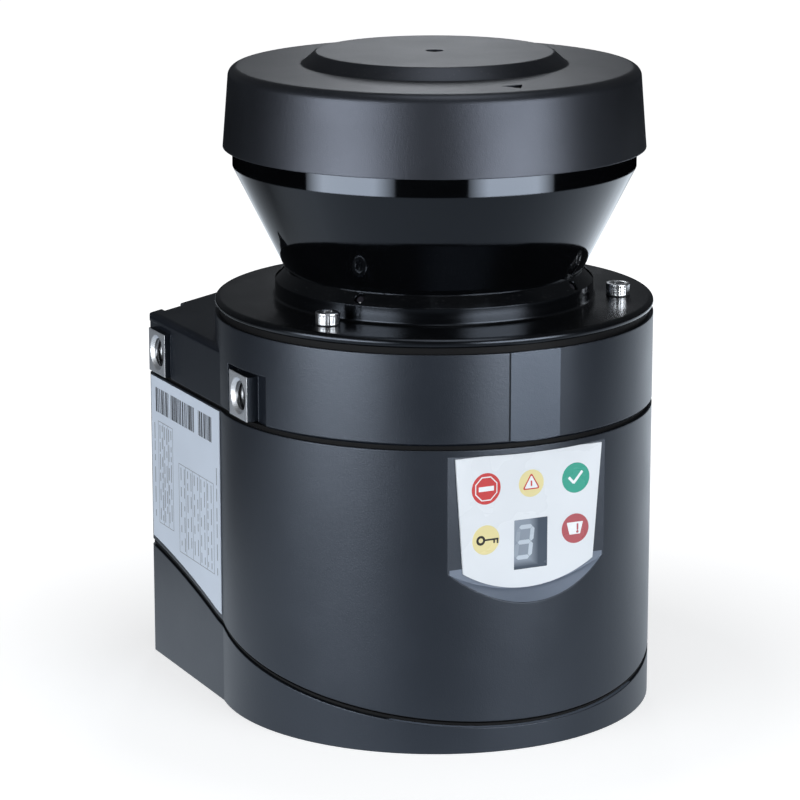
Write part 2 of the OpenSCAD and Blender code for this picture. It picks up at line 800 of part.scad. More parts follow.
module scanner_frame() {
    plate_top = frame_top_z;
    plate_low = plate_top - frame_plate_t;
    color("#8f9499") difference() {
        union() {
            translate([0, 0, frame_seat_z]) cylinder(r = frame_flange_r, h = frame_flange_t);
            rotate([0, 0, 90 - column_half_a]) rotate_extrude(angle = 2 * column_half_a)
                translate([column_in_r, frame_seat_z + 1])
                    square([column_out_r - column_in_r, plate_top - frame_seat_z - 1]);
            translate([0, 0, plate_low]) cylinder(r = frame_plate_r, h = frame_plate_t);
            translate([-frame_arm_w / 2, 0, plate_low])
                cube([frame_arm_w, column_in_r + 2, frame_plate_t]);
            translate([0, 0, bearing_low_z - 0.2])
                cylinder(r = tube_r, h = tube_top - bearing_low_z + 0.2);
        }
        translate([0, 0, frame_seat_z - 1]) cylinder(r = frame_bore_r, h = frame_flange_t + 2);
        translate([0, 0, bearing_low_z - 1]) cylinder(r = bearing_r, h = bearing_w + 1);
        translate([0, 0, bearing_low_z]) cylinder(r = tube_bore_r, h = bearing_high_z - bearing_low_z);
        translate([0, 0, bearing_high_z]) cylinder(r = bearing_r, h = bearing_w + 1);
        at_frame_screws() translate([0, 0, frame_seat_z - 1])
            cylinder(r = screw_m3_r + hole_gap, h = frame_flange_t + 2);
        // lightening window in the column and the seat of the encoder's sensor
        translate([-7, column_in_r - 5, scan_z - 14]) cube([14, 15, 22]);
        translate([-sensor_w / 2 - fit, column_in_r - 5, sensor_z - fit])
            cube([sensor_w + 2 * fit, 5.6, sensor_h + 2 * fit]);
    }
}

module frame_screws() {
    color("#9a9ca0") at_frame_screws() translate([0, 0, frame_seat_z + frame_flange_t])
        cap_screw(screw_m3_r, frame_screw_len, m3_head_r, m3_flat_head_h, m3_key_af);
}

sensor_w = 10;
sensor_h = 7.4;
sensor_z = holder_top - 3.4;
module encoder_sensor() {
    y0 = bell_r + 0.9;
    color("#15171a") difference() {
        translate([-sensor_w / 2, y0, sensor_z]) cube([sensor_w, column_in_r + 0.6 - y0, sensor_h]);
        translate([-sensor_w, y0 - 1, holder_top - 0.9])
            cube([2 * sensor_w, encoder_r - y0 + 1.9, encoder_t + 1.8]);
    }
}

module stator_core() {
    tip_a = 270 / stator_teeth;
    color("#6f7276") difference() {
        translate([0, 0, stator_z]) union() {
            cylinder(r = 10, h = stator_t);
            for (i = [0 : stator_teeth - 1]) rotate([0, 0, i * 360 / stator_teeth]) {
                translate([9, -1.1, 0]) cube([stator_r - 9.7, 2.2, stator_t]);
                rotate([0, 0, -tip_a / 2]) rotate_extrude(angle = tip_a)
                    translate([stator_r - 1.4, 0]) square([1.4, stator_t]);
            }
        }
        translate([0, 0, stator_z - 1]) cylinder(r = tube_r, h = stator_t + 2);
    }
}

module stator_coils() {
    color("#b4652a") for (i = [0 : stator_teeth - 1]) rotate([0, 0, i * 360 / stator_teeth])
        difference() {
            translate([10.4, -2.4, stator_z - 0.4]) cube([3.4, 4.8, stator_t + 0.8]);
            translate([10, -1.15, stator_z - 0.05]) cube([5, 2.3, stator_t + 0.1]);
        }
}

module bearing(z) {
    translate([0, 0, z]) difference() {
        cylinder(r = bearing_r, h = bearing_w);
        translate([0, 0, -1]) cylinder(r = shaft_r + run_gap, h = bearing_w + 2);
        for (e = [-0.01, bearing_w - 0.29]) translate([0, 0, e]) difference() {
            cylinder(r = 4.7, h = 0.3);
            translate([0, 0, -1]) cylinder(r = 3.1, h = 3);
        }
    }
}

module lower_bearing() {
    color("#c2c6ca") bearing(bearing_low_z);
}

module upper_bearing() {
    color("#c2c6ca") bearing(bearing_high_z);
}

// ---------- rotor ----------

module rotor_shaft() {
    color("#d0d3d6") difference() {
        translate([0, 0, shaft_low_z]) cylinder(r = shaft_r, h = shaft_top - shaft_low_z);
        translate([0, 0, shaft_top - 0.4]) difference() {
            cylinder(r = 5, h = 0.2);
            translate([0, 0, -1]) cylinder(r = shaft_r - 0.4, h = 3);
        }
    }
}

module shaft_clip() {
    color("#77797c") translate([0, 0, shaft_top - 0.4]) difference() {
        cylinder(r = shaft_r + 1.4, h = 0.2);
        translate([0, 0, -1]) cylinder(r = shaft_r - 0.4, h = 3);
        translate([-1.1, 0, -1]) cube([2.2, 9, 3]);
    }
}

module motor_bell() {
    color("#b9bdc2") difference() {
        translate([0, 0, bell_z]) cylinder(r = bell_r, h = bell_top - bell_z);
        translate([0, 0, bell_z + bell_t]) cylinder(r = magnet_r, h = 10);
        translate([0, 0, bell_z - 1]) cylinder(r = shaft_r, h = 10);
        for (a = [30 : 60 : 330]) rotate([0, 0, a]) translate([12.2, 0, bell_z - 1])
            cylinder(r = 2.2, h = 5);
    }
}

module magnet_ring() {
    color("#3c3f43") translate([0, 0, bell_z + bell_t]) difference() {
        cylinder(r = magnet_r, h = bell_top - bell_z - bell_t - 0.3);
        translate([0, 0, -1]) cylinder(r = magnet_r - magnet_t, h = 10);
    }
}

// Half space on the back of the mirror, from a depth behind its face
module behind_mirror(depth, size = 120) {
    translate([0, 0, scan_z]) rotate([-45, 0, 0])
        translate([-size / 2, -size / 2, depth]) cube([size, size, size]);
}

module mirror_holder() {
    hub_r = 5;
    color("#26282c") difference() {
        intersection() {
            translate([0, 0, scan_z - holder_r]) cylinder(r = holder_r, h = holder_top - scan_z + holder_r);
            behind_mirror(0);
        }
        difference() {
            translate([0, 0, scan_z - 30]) cylinder(r = mirror_r + fit, h = 60);
            behind_mirror(mirror_t);
        }
        // hollow back with a hub and three ribs
        difference() {
            intersection() {
                translate([0, 0, scan_z - 30]) cylinder(r = holder_r - 1.8, h = holder_top - scan_z + 28);
                behind_mirror(mirror_t + 2);
            }
            translate([0, 0, scan_z - 30]) cylinder(r = hub_r, h = 70);
            for (a = [30, 90, 150]) rotate([0, 0, a]) translate([0, -0.8, scan_z - 30])
                cube([30, 1.6, 70]);
        }
        translate([0, 0, shaft_low_z]) cylinder(r = shaft_r, h = 40);
    }
}

module scan_mirror() {
    color("#dfe7f0") intersection() {
        translate([0, 0, scan_z - 30]) cylinder(r = mirror_r, h = 60);
        difference() {
            behind_mirror(0);
            behind_mirror(mirror_t);
        }
    }
}

module encoder_disc() {
    color("#c8b26a") difference() {
        translate([0, 0, holder_top]) cylinder(r = encoder_r, h = encoder_t);
        translate([0, 0, holder_top - 1]) cylinder(r = shaft_r, h = encoder_t + 2);
        for (i = [0 : encoder_slots - 1]) rotate([0, 0, i * 360 / encoder_slots])
            translate([bell_r + 1.2, -0.5, holder_top - 1]) cube([1.6, 1, encoder_t + 2]);
    }
}

// ---------- receiver and boards ----------

// How far a lens face falls back from its crown at a radius r
function lens_sag(r) = lens_curve_r - sqrt(pow(lens_curve_r, 2) - pow(r, 2));

module receiver_lens() {
    sag = lens_sag(lens_r);
    edge = lens_edge;
    color("#9fb4c4") difference() {
        intersection() {
            translate([0, 0, lens_z - sag]) cylinder(r = lens_r, h = edge + 2 * sag);
            translate([0, 0, lens_z - sag + lens_curve_r]) sphere(r = lens_curve_r, $fn = 180);
            translate([0, 0, lens_z + edge + sag - lens_curve_r])
                sphere(r = lens_curve_r, $fn = 180);
        }
        translate([0, 0, lens_z - 20]) cylinder(r = lens_hole_r, h = 50);
    }
}

module lens_ring() {
    low = lens_z + lens_edge + lens_sag(lens_r) - lens_sag(lens_seat_r);
    color("#1a1b1d") translate([0, 0, low]) difference() {
        cylinder(r = lens_r + 1.4, h = barrel_top - low);
        translate([0, 0, -1]) cylinder(r = lens_seat_r, h = 9);
    }
}

module lens_barrel() {
    top_r = frame_bore_r - 0.2;
    color("#3a3d42") difference() {
        rotate_extrude() polygon([[0, barrel_low], [barrel_low_r, barrel_low],
            [lens_r + 2, frame_seat_z - 7], [lens_r + 2, frame_seat_z - 2.2],
            [deck_open_r - 0.4, frame_seat_z - 2.2], [deck_open_r - 0.4, frame_seat_z],
            [top_r, frame_seat_z], [top_r, barrel_top], [0, barrel_top]]);
        translate([0, 0, lens_z - lens_sag(lens_r) + lens_sag(lens_seat_r)])
            cylinder(r = lens_r + 1.4, h = 20);
        rotate_extrude() polygon([[0, barrel_low + 3], [barrel_low_r - 2, barrel_low + 3],
            [lens_seat_r, frame_seat_z - 7], [lens_seat_r, lens_z + 1], [0, lens_z + 1]]);
        translate([0, 0, barrel_low - 1]) cylinder(r = 3, h = 8);
    }
}

module laser_module() {
    low = 12;
    length = 19.8;
    color("#b08d57") translate([0, 0, lens_z - low]) difference() {
        union() {
            cylinder(r = lens_hole_r, h = length);
            cylinder(r = lens_hole_r + 0.9, h = 5);
        }
        translate([0, 0, length - 1.2]) cylinder(r = 2.4, h = 3);
    }
}

module detector_board() {
    board_w = 26;
    plug_w = 18;
    color("#1f5b3a") translate([0, 0, barrel_low - board_t]) union() {
        translate([-board_w / 2, -board_w / 2, 0]) cube([board_w, board_w, board_t]);
        translate([0, 0, board_t]) cylinder(r = 2.6, h = 1.6);
        translate([-plug_w / 2, -plug_w / 2, -4]) cube([plug_w, 7, 4]);
    }
}

// Board with its components, each given by its place, width, height and depth
module circuit_board(y, parts) {
    difference() {
        translate([-board_half_w, y, board_low_z])
            cube([2 * board_half_w, board_t, board_top_z - board_low_z]);
        for (s = [-1, 1], z = post_z) translate([s * post_x, y - 1, z]) rotate([-90, 0, 0])
            cylinder(r = screw_m3_r + hole_gap, h = board_t + 2);
    }
    for (p = parts) translate([p[0], y - p[4], p[1]]) cube([p[2], p[4] + 0.2, p[3]]);
}

module main_board() {
    color("#1f5b3a") circuit_board(main_board_y, [[8 - post_x, 40, 14, 14, 1.6],
        [6, 40, 10, 10, 1.4], [-4, 36, 6, 4, 1.2], [post_x - 13, 50, 8, 10, 5],
        [9 - post_x, 58, 8, 4, 2]]);
}

module logic_board() {
    color("#1f5b3a") circuit_board(logic_board_y, [[11 - post_x, 40, 12, 12, 1.6],
        [-4, 42, 9, 9, 1.6], [post_x - 21, 38, 12, 14, 7], [5 - post_x, 58, 20, 5, 6]]);
}

module board_spacers() {
    color("#c0a25a") for (s = [-1, 1], z = post_z)
        translate([s * post_x, main_board_y + board_t, z]) rotate([-90, 0, 0]) difference() {
            cylinder(r = 3, h = logic_board_y - main_board_y - board_t, $fn = 6);
            translate([0, 0, -1]) cylinder(r = screw_m3_r, h = 40);
        }
}

module board_screws() {
    color("#9a9ca0") for (s = [-1, 1], z = post_z) translate([s * post_x, main_board_y, z])
        rotate([90, 0, 0]) cap_screw(screw_m3_r, board_screw_len, m3_head_r, m3_flat_head_h, m3_key_af);
}

// ---------- connectors ----------

plug_board_z = base_plate_t + 2;
plug_board_post_x = 20.5;
plug_board_post_y = [13.5, 31.5];
socket_z = plug_board_z + board_t;
socket_h = 9;
gland_z = 9.2;
gland_thread_r = 6;
gland_bore_r = 3.6;
gland_hex_t = 4;                         // hexagon that seats on the recess's floor
gland_nut_z = 5;                         // clamping nut
gland_nut_l = 6.6;
gland_thread_l = 4.4;                    // thread through the base's wall

module plug_board() {
    color("#1f5b3a") difference() {
        translate([-24, 10, plug_board_z]) cube([48, 25, board_t]);
        for (s = [-1, 1], y = plug_board_post_y) translate([s * plug_board_post_x, y, 0])
            cylinder(r = 1.2, h = 20);
    }
}

module plug_connector() {
    color("#17181a") translate([0, connector_y, socket_z]) difference() {
        translate([-connector_w / 2, -connector_d / 2, 0]) cube([connector_w, connector_d, socket_h]);
        translate([-connector_w / 2 + 1.5, -connector_d / 2 + 1.5, 2])
            cube([connector_w - 3, connector_d - 3, socket_h]);
    }
}

module housing_connector() {
    tongue = 0.3;
    color("#202225") union() {
        translate([-connector_w / 2, connector_y - connector_d / 2, socket_z + socket_h + 0.3])
            cube([connector_w, connector_d, 17]);
        translate([-connector_w / 2 + 1.5 + tongue, connector_y - connector_d / 2 + 1.5 + tongue,
            socket_z + 3])
            cube([connector_w - 3 - 2 * tongue, connector_d - 3 - 2 * tongue, socket_h]);
    }
}

module cable_gland() {
    color("#8b8e92") translate([0, block_back - recess_d, gland_z]) rotate([-90, 0, 0])
        difference() {
            union() {
                cylinder(r = gland_thread_r + 2, h = gland_hex_t, $fn = 6);
                cylinder(r = gland_thread_r + 0.6, h = gland_nut_z + 3);
                translate([0, 0, gland_nut_z])
                    cylinder(r = gland_thread_r + 1.6, h = gland_nut_l, $fn = 6);
                translate([0, 0, -gland_thread_l])
                    cylinder(r = gland_thread_r, h = gland_thread_l + 0.6);
            }
            translate([0, 0, -gland_thread_l - 2]) cylinder(r = gland_bore_r, h = 30);
        }
}

lower_housing();
upper_housing();
system_plug();
plug_screws();
plug_seal();
housing_seal();
housing_screws();
cover_seal();
optics_cover();
cover_screws();
cap();
contamination_sensors();
scanner_frame();
frame_screws();
stator_core();
stator_coils();
lower_bearing();
upper_bearing();
rotor_shaft();
shaft_clip();
motor_bell();
magnet_ring();
mirror_holder();
scan_mirror();
encoder_disc();
encoder_sensor();
receiver_lens();
lens_ring();
lens_barrel();
laser_module();
detector_board();
main_board();
logic_board();
board_spacers();
board_screws();
display_board();
digit_display();
light_pipes();
display_panel();
housing_connector();
plug_connector();
plug_board();
cable_gland();
type_label();
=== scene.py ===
"""Looks of a safety laser scanner: paint, smoked window, printed display, label and studio.

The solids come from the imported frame. This script gives them their finishes and adds the
printed, threaded and knurled details as surfaces computed with numpy. Metres throughout.
"""
import math

import bpy
import numpy as np
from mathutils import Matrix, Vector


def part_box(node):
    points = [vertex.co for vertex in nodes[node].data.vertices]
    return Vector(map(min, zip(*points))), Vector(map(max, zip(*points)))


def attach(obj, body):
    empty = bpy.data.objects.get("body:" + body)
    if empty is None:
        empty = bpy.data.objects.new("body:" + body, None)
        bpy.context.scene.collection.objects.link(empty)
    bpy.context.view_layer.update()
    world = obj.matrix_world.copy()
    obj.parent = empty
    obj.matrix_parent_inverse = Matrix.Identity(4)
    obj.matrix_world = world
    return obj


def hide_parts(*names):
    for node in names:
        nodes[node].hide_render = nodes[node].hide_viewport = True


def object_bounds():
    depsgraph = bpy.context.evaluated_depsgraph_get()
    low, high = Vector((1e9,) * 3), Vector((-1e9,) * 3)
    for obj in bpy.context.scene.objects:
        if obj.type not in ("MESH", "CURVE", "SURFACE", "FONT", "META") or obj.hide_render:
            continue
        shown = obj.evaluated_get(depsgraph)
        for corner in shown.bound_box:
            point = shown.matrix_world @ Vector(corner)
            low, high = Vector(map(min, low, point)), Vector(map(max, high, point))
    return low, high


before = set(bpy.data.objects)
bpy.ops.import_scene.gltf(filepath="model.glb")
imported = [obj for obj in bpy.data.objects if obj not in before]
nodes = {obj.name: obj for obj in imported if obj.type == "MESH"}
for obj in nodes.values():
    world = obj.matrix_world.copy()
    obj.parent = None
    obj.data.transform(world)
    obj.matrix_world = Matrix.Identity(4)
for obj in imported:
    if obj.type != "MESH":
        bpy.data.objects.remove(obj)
cad_low, cad_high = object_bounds()

MM = 0.001
TAU = 2 * math.pi

# ---------------------------------------------------------------- places taken from the solids

panel_low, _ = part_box("display_panel")
film_y = panel_low.y                      # front face of the display film
digit_low, digit_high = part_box("digit_display")
lamp_low, lamp_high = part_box("light_pipes")
label_low, label_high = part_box("type_label")
cover_low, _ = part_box("optics_cover")
_, screw_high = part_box("cover_screws")
body_low, body_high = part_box("upper_housing")

LAMP_R = 2.6 * MM                         # a light guide behind its symbol
LAMP_LEFT = lamp_low.x + LAMP_R
LAMP_RIGHT = lamp_high.x - LAMP_R
LAMP_MID = (LAMP_LEFT + LAMP_RIGHT) / 2
LAMP_TOP = lamp_high.z - LAMP_R
LAMP_BOTTOM = lamp_low.z + LAMP_R
DIGIT_MID_X = (digit_low.x + digit_high.x) / 2
DIGIT_MID_Z = (digit_low.z + digit_high.z) / 2

BODY_R = 51 * MM                          # round outside of both housings
BOSS_FACE_X = body_high.x                 # machined faces of the side bosses
BOSS_Y = (-3 * MM, 46.5 * MM)             # axes of the side bores
BOSS_Z = 76.7 * MM
SIDE_CORE_R = 3.4 * MM
SIDE_BORE_X = 41 * MM                     # where the side bores end, from the middle
REAR_CORE_R = 2.1 * MM
REAR_X = 30 * MM                          # axes of the rear bores
REAR_Z = (37 * MM, 78 * MM)
REAR_DEPTH = 9 * MM
BACK_Y = body_high.y
SHELL_Z = body_low.z + 0.3 * MM           # the upper housing stands above this
FACET_HALF = 6.2 * MM                     # flat strip down the front of the upper housing
FACET_Y = -math.sqrt(BODY_R ** 2 - FACET_HALF ** 2)
LEDGE_Z = panel_low.z + 6 * MM            # the ledge under the display lies below this
LEDGE_Y = -40 * MM                        # and in front of this
FOOT_Z = cover_low.z

# ---------------------------------------------------------------- surfaces


def add_piece(name, verts, faces, material, body, slot, smooth=True):
    """Makes a mesh object at the origin from vertices and face lists, and seats it on a body."""
    mesh = bpy.data.meshes.new(name)
    mesh.from_pydata(np.asarray(verts, float).reshape(-1, 3).tolist(), [], faces)
    mesh.validate()
    mesh.update()
    mesh.polygons.foreach_set("use_smooth", [smooth] * len(mesh.polygons))
    mesh.materials.append(material)
    piece = bpy.data.objects.new(name, mesh)
    bpy.context.scene.collection.objects.link(piece)
    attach(piece, body)
    return piece


def grid_faces(rows, cols, close_rows=False):
    """Quads of rows of cols points, each row a closed ring: point (i, j) is number i * cols + j."""
    i = np.arange(rows if close_rows else rows - 1)
    i, j = np.meshgrid(i, np.arange(cols), indexing="ij")
    i2, j2 = (i + 1) % rows, (j + 1) % cols
    quads = np.stack([i * cols + j, i * cols + j2, i2 * cols + j2, i2 * cols + j], -1)
    return quads.reshape(-1, 4).tolist()


def fan_faces(ring_start, cols, pole, outward=True):
    """Triangles from a ring of cols points to its pole, the other way round if not outward."""
    j = np.arange(cols)
    j2 = (j + 1) % cols
    tris = np.stack([ring_start + j, ring_start + j2, np.full(cols, pole)], -1)
    return (tris if outward else tris[:, ::-1]).tolist()


def merge(parts):
    """Joins (verts, faces) pairs into one such pair."""
    verts, faces, start = [], [], 0
    for v, f in parts:
        v = np.asarray(v, float).reshape(-1, 3)
        verts.append(v)
        faces += [[k + start for k in face] for face in f]
        start += len(v)
    return np.concatenate(verts), faces


def plate(outline, x, z, depth, height):
    """A printed plate on the film, seen from the front.

    outline holds points (u, w) in order round the plate, anticlockwise seen from the front.
    The rings are the outline scaled by k about its middle and pushed out to y = film_y - h,
    with (k, h) running from the foot (1, -depth) over the softened rim to the face.
    """
    soft = 0.03 * MM
    outline = np.asarray(outline, float)
    reach = np.abs(outline).max()
    rings = [(1.0, -depth), (1.0, height - soft), (1 - soft / reach, height), (0.5, height)]
    cols = len(outline)
    middle = outline.mean(0)
    verts = []
    for k, h in rings:
        p = middle + (outline - middle) * k
        verts.append(np.stack([x + p[:, 0], np.full(cols, film_y - h), z + p[:, 1]], -1))
    poles = [[x + middle[0], film_y + depth, z + middle[1]],
             [x + middle[0], film_y - height, z + middle[1]]]
    faces = grid_faces(len(rings), cols)
    last = (len(rings) - 1) * cols
    faces += fan_faces(0, cols, len(rings) * cols, outward=False)
    faces += fan_faces(last, cols, len(rings) * cols + 1)
    return np.concatenate(verts + [np.array(poles)]), faces


def band(inner, outer, x, z, depth, height):
    """A flat closed band between two outlines with as many points each, proud of the film.

    Its section, carried round the outline, is the rectangle from inner to outer and from
    the foot at film_y + depth to the face at film_y - height.
    """
    inner, outer = np.asarray(inner, float), np.asarray(outer, float)
    cols = len(inner)
    rings = [(outer, -depth), (outer, height), (inner, height), (inner, -depth)]
    verts = [np.stack([x + p[:, 0], np.full(cols, film_y - h), z + p[:, 1]], -1) for p, h in rings]
    return np.concatenate(verts), grid_faces(len(rings), cols, close_rows=True)


def circle(r, n=72, turn=0.0):
    """Points r * (cos t, sin t) round a circle."""
    t = np.linspace(0, TAU, n, endpoint=False) + turn
    return np.stack([r * np.cos(t), r * np.sin(t)], -1)


def rounded_polygon(corners, r, n=7):
    """Outline of a convex polygon with each corner replaced by an arc of radius r.

    Each arc's centre lies on the corner's bisector, r / sin(half angle) from the corner,
    and the arc runs between the feet of the perpendiculars on the two sides.
    """
    corners = np.asarray(corners, float)
    before, after = np.roll(corners, 1, 0), np.roll(corners, -1, 0)
    a = (before - corners) / np.linalg.norm(before - corners, axis=1, keepdims=True)
    b = (after - corners) / np.linalg.norm(after - corners, axis=1, keepdims=True)
    half = np.arccos(np.clip((a * b).sum(1), -1, 1)) / 2
    bisector = (a + b) / np.linalg.norm(a + b, axis=1, keepdims=True)
    centre = corners + bisector * (r / np.sin(half))[:, None]
    foot = corners + a * (r / np.tan(half))[:, None] - centre
    sweep = math.pi - 2 * half
    t = np.linspace(0, 1, n)[None, :] * sweep[:, None]
    x = foot[:, None, 0] * np.cos(t) - foot[:, None, 1] * np.sin(t)
    y = foot[:, None, 0] * np.sin(t) + foot[:, None, 1] * np.cos(t)
    return (centre[:, None, :] + np.stack([x, y], -1)).reshape(-1, 2)


def bar(width, height, r=0.1 * MM, turn=0.0):
    """Outline of a rounded bar, centred on the origin and turned about it."""
    corners = np.array([[-1, -1], [1, -1], [1, 1], [-1, 1]]) * [width / 2, height / 2]
    c, s = math.cos(turn), math.sin(turn)
    return rounded_polygon(corners, r, 4) @ np.array([[c, s], [-s, c]])


def slats(rects, x, t):
    """Thin printed bars on a face that looks along -X.

    rects holds (y0, z0, y1, z1). Each bar is a closed box from the face at x out to x - t.
    """
    rects = np.asarray(rects, float)
    n = len(rects)
    y = rects[:, [0, 2, 2, 0]]
    z = rects[:, [1, 1, 3, 3]]
    back = np.stack([np.full((n, 4), x), y, z], -1)
    front = np.stack([np.full((n, 4), x - t), y, z], -1)
    verts = np.concatenate([back, front], 1).reshape(-1, 3)
    box = np.array([[0, 1, 2, 3], [7, 6, 5, 4], [0, 4, 5, 1], [1, 5, 6, 2], [2, 6, 7, 3],
                    [3, 7, 4, 0]])
    faces = (box[None] + 8 * np.arange(n)[:, None, None]).reshape(-1, 4).tolist()
    return verts, faces


def thread(core_r, depth, pitch, length, segments=48):
    """The turns of a tapped thread, seen from inside a bore that runs along +X from its mouth.

    The radius at turn angle t and distance x is
    inner_r - depth * ridge(x / pitch - t / 2 pi), where ridge is a truncated triangle wave
    of period 1, so that the ridges climb in a helix and stand in from the bore's wall.
    They fade in over the first 0.8 of a pitch.
    """
    rows_per_turn = 12
    wall_r, inner_r = core_r - 0.01 * MM, core_r - 0.02 * MM
    rows = int(length / pitch * rows_per_turn) + 1
    x = np.linspace(0, length, rows)[:, None]
    t = np.linspace(0, TAU, segments, endpoint=False)[None, :]
    phase = (x / pitch - t / TAU) % 1.0
    ridge = np.clip(1.35 - 4 * np.abs(phase - 0.5), 0, 1)
    start = np.clip(x / (0.8 * pitch), 0, 1)
    r = inner_r - depth * ridge * start
    inside = np.stack([x + 0 * t, r * np.cos(t), r * np.sin(t)], -1)
    wall = np.stack([x + 0 * t, wall_r * np.cos(t) + 0 * x, wall_r * np.sin(t) + 0 * x], -1)
    wall = wall[::-1]
    verts = np.concatenate([inside, wall]).reshape(-1, 3)
    return verts, [f[::-1] for f in grid_faces(2 * rows, segments, close_rows=True)]


def socket_screw(head_r, head_h, key_r, key_depth, ribs, segments=144):
    """Head of a socket cap screw on z = 0, as a surface of revolution whose radius ripples.

    Over the knurled side the radius is head_r * (1 - ripple * |sin(ribs t / 2)|), faded in
    and out along the height. The profile then turns in over a rounded shoulder, and down into
    a six-sided socket whose radius is key_r * cos 30 / cos((t mod 60 deg) - 30 deg).
    """
    t = np.linspace(0, TAU, segments, endpoint=False)
    rib = np.abs(np.sin(ribs * t / 2))
    hexagon = key_r * math.cos(TAU / 12) / np.cos((t % (TAU / 6)) - TAU / 12)
    ripple, shoulder, foot = 0.022, 0.28 * MM, 0.1 * MM
    rows = [(head_r - 0.12 * MM, 0.0)]
    for k in np.linspace(0, 1, 9):
        fade = min(1, 8 * k, 8 * (1 - k))
        knurled = head_r * (1 - ripple * fade * rib)
        rows.append((knurled, foot + k * (head_h - shoulder - foot)))
    for degrees in np.linspace(15, 90, 6):
        a = math.radians(degrees)
        rows.append((head_r - shoulder * (1 - math.cos(a)),
                     head_h - shoulder + shoulder * math.sin(a)))
    rows.append((key_r + 0.3 * MM, head_h))
    rows.append((0.35 * (key_r + 0.1 * MM) + 0.65 * (hexagon + 0.06 * MM), head_h - 0.1 * MM))
    rows.append((hexagon, head_h - 0.28 * MM))
    rows.append((hexagon, head_h - key_depth))
    rows.append((hexagon * 0.5, head_h - key_depth - 0.22 * MM))
    verts = np.concatenate([np.stack([r * np.cos(t), r * np.sin(t), np.full(segments, z)], -1)
                            for r, z in rows])
    low, high = len(verts), len(verts) + 1
    verts = np.concatenate([verts, [[0, 0, 0], [0, 0, head_h - key_depth - 0.35 * MM]]])
    faces = grid_faces(len(rows), segments)
    faces += fan_faces(0, segments, low, outward=False)
    faces += fan_faces((len(rows) - 1) * segments, segments, high)
    return verts, faces


def cylinder(r, z0, z1, segments=32):
    """A closed shank r * (cos t, sin t) from z0 to z1."""
    t = np.linspace(0, TAU, segments, endpoint=False)
    verts = np.concatenate([np.stack([r * np.cos(t), r * np.sin(t), np.full(segments, z)], -1)
                            for z in (z0, z1)])
    verts = np.concatenate([verts, [[0, 0, z0], [0, 0, z1]]])
    faces = grid_faces(2, segments) + fan_faces(0, segments, 2 * segments, outward=False)
    return verts, faces + fan_faces(segments, segments, 2 * segments + 1)


def placed(part, move, turn_z=0.0, axes=None):
    """A (verts, faces) pair turned about Z, with its axes swapped if asked, and moved."""
    verts, faces = part
    c, s = math.cos(turn_z), math.sin(turn_z)
    verts = verts @ np.array([[c, s, 0], [-s, c, 0], [0, 0, 1]])
    if axes is not None:
        verts = verts @ np.array(axes, float).T
        if np.linalg.det(np.array(axes, float)) < 0:
            faces = [f[::-1] for f in faces]
    return verts + np.array(move), faces


# ---------------------------------------------------------------- shared effects of the finishes


class Tree:
    """A short way to add and wire shader nodes."""

    def __init__(self, tree):
        self.tree = tree

    def add(self, kind, inputs=None, **settings):
        node = self.tree.nodes.new(kind)
        for key, value in settings.items():
            setattr(node, key, value)
        for key, value in (inputs or {}).items():
            if isinstance(value, bpy.types.NodeSocket):
                self.tree.links.new(value, node.inputs[key])
            else:
                node.inputs[key].default_value = value
        return node

    def link(self, source, target):
        self.tree.links.new(source, target)

    def place(self):
        """Where a point lies on its object."""
        return self.add("ShaderNodeTexCoord").outputs["Object"]

    def split(self, vector):
        return self.add("ShaderNodeSeparateXYZ", {0: vector}).outputs

    def noise(self, place, scale, **settings):
        inputs = {"Vector": place, "Scale": scale, **settings}
        return self.add("ShaderNodeTexNoise", inputs).outputs[0]

    def math(self, operation, a, b=0.0, clamp=False):
        return self.add("ShaderNodeMath", {0: a, 1: b}, operation=operation,
                        use_clamp=clamp).outputs[0]

    def below(self, value, limit):
        return self.math("LESS_THAN", value, limit)

    def above(self, value, limit):
        return self.math("GREATER_THAN", value, limit)

    def product(self, first, *others):
        for other in others:
            first = self.math("MULTIPLY", first, other)
        return first

    def ramp(self, value, low, high, to_low=0.0, to_high=1.0):
        return self.add("ShaderNodeMapRange", {"Value": value, "From Min": low, "From Max": high,
                                               "To Min": to_low, "To Max": to_high}).outputs[0]

    def mix(self, factor, a, b):
        a, b = (c if isinstance(c, bpy.types.NodeSocket) else (*c, 1) for c in (a, b))
        return self.add("ShaderNodeMix", {0: factor, 6: a, 7: b}, data_type="RGBA").outputs[2]


def new_group(name, inputs, outputs):
    """An empty node group with named inputs (name, default) and outputs (name, kind)."""
    group = bpy.data.node_groups.new(name, "ShaderNodeTree")
    for label, default in inputs:
        socket = group.interface.new_socket(label, in_out="INPUT", socket_type="NodeSocketFloat")
        socket.default_value = default
    for label, kind in outputs:
        group.interface.new_socket(label, in_out="OUTPUT", socket_type="NodeSocket" + kind)
    tree = Tree(group)
    return group, tree, tree.add("NodeGroupInput").outputs, tree.add("NodeGroupOutput").inputs


def make_grain():
    """Fine moulded or powder-coated grain: two sizes of noise, as a height and a speckle mask."""
    group, t, given, out = new_group("surface_grain", [("Size", 0.3), ("Coarse", 0.4)],
                                     [("Height", "Float"), ("Speckle", "Float")])
    place = t.place()
    scale = t.math("DIVIDE", 1000.0, given["Size"])
    fine = t.noise(place, scale, Detail=2.0, Roughness=0.6)
    coarse = t.noise(place, t.product(scale, 0.28), Detail=1.0)
    height = t.math("ADD", fine, t.product(coarse, given["Coarse"]))
    t.link(height, out["Height"])
    t.link(t.ramp(fine, 0.52, 0.72), out["Speckle"])
    return group


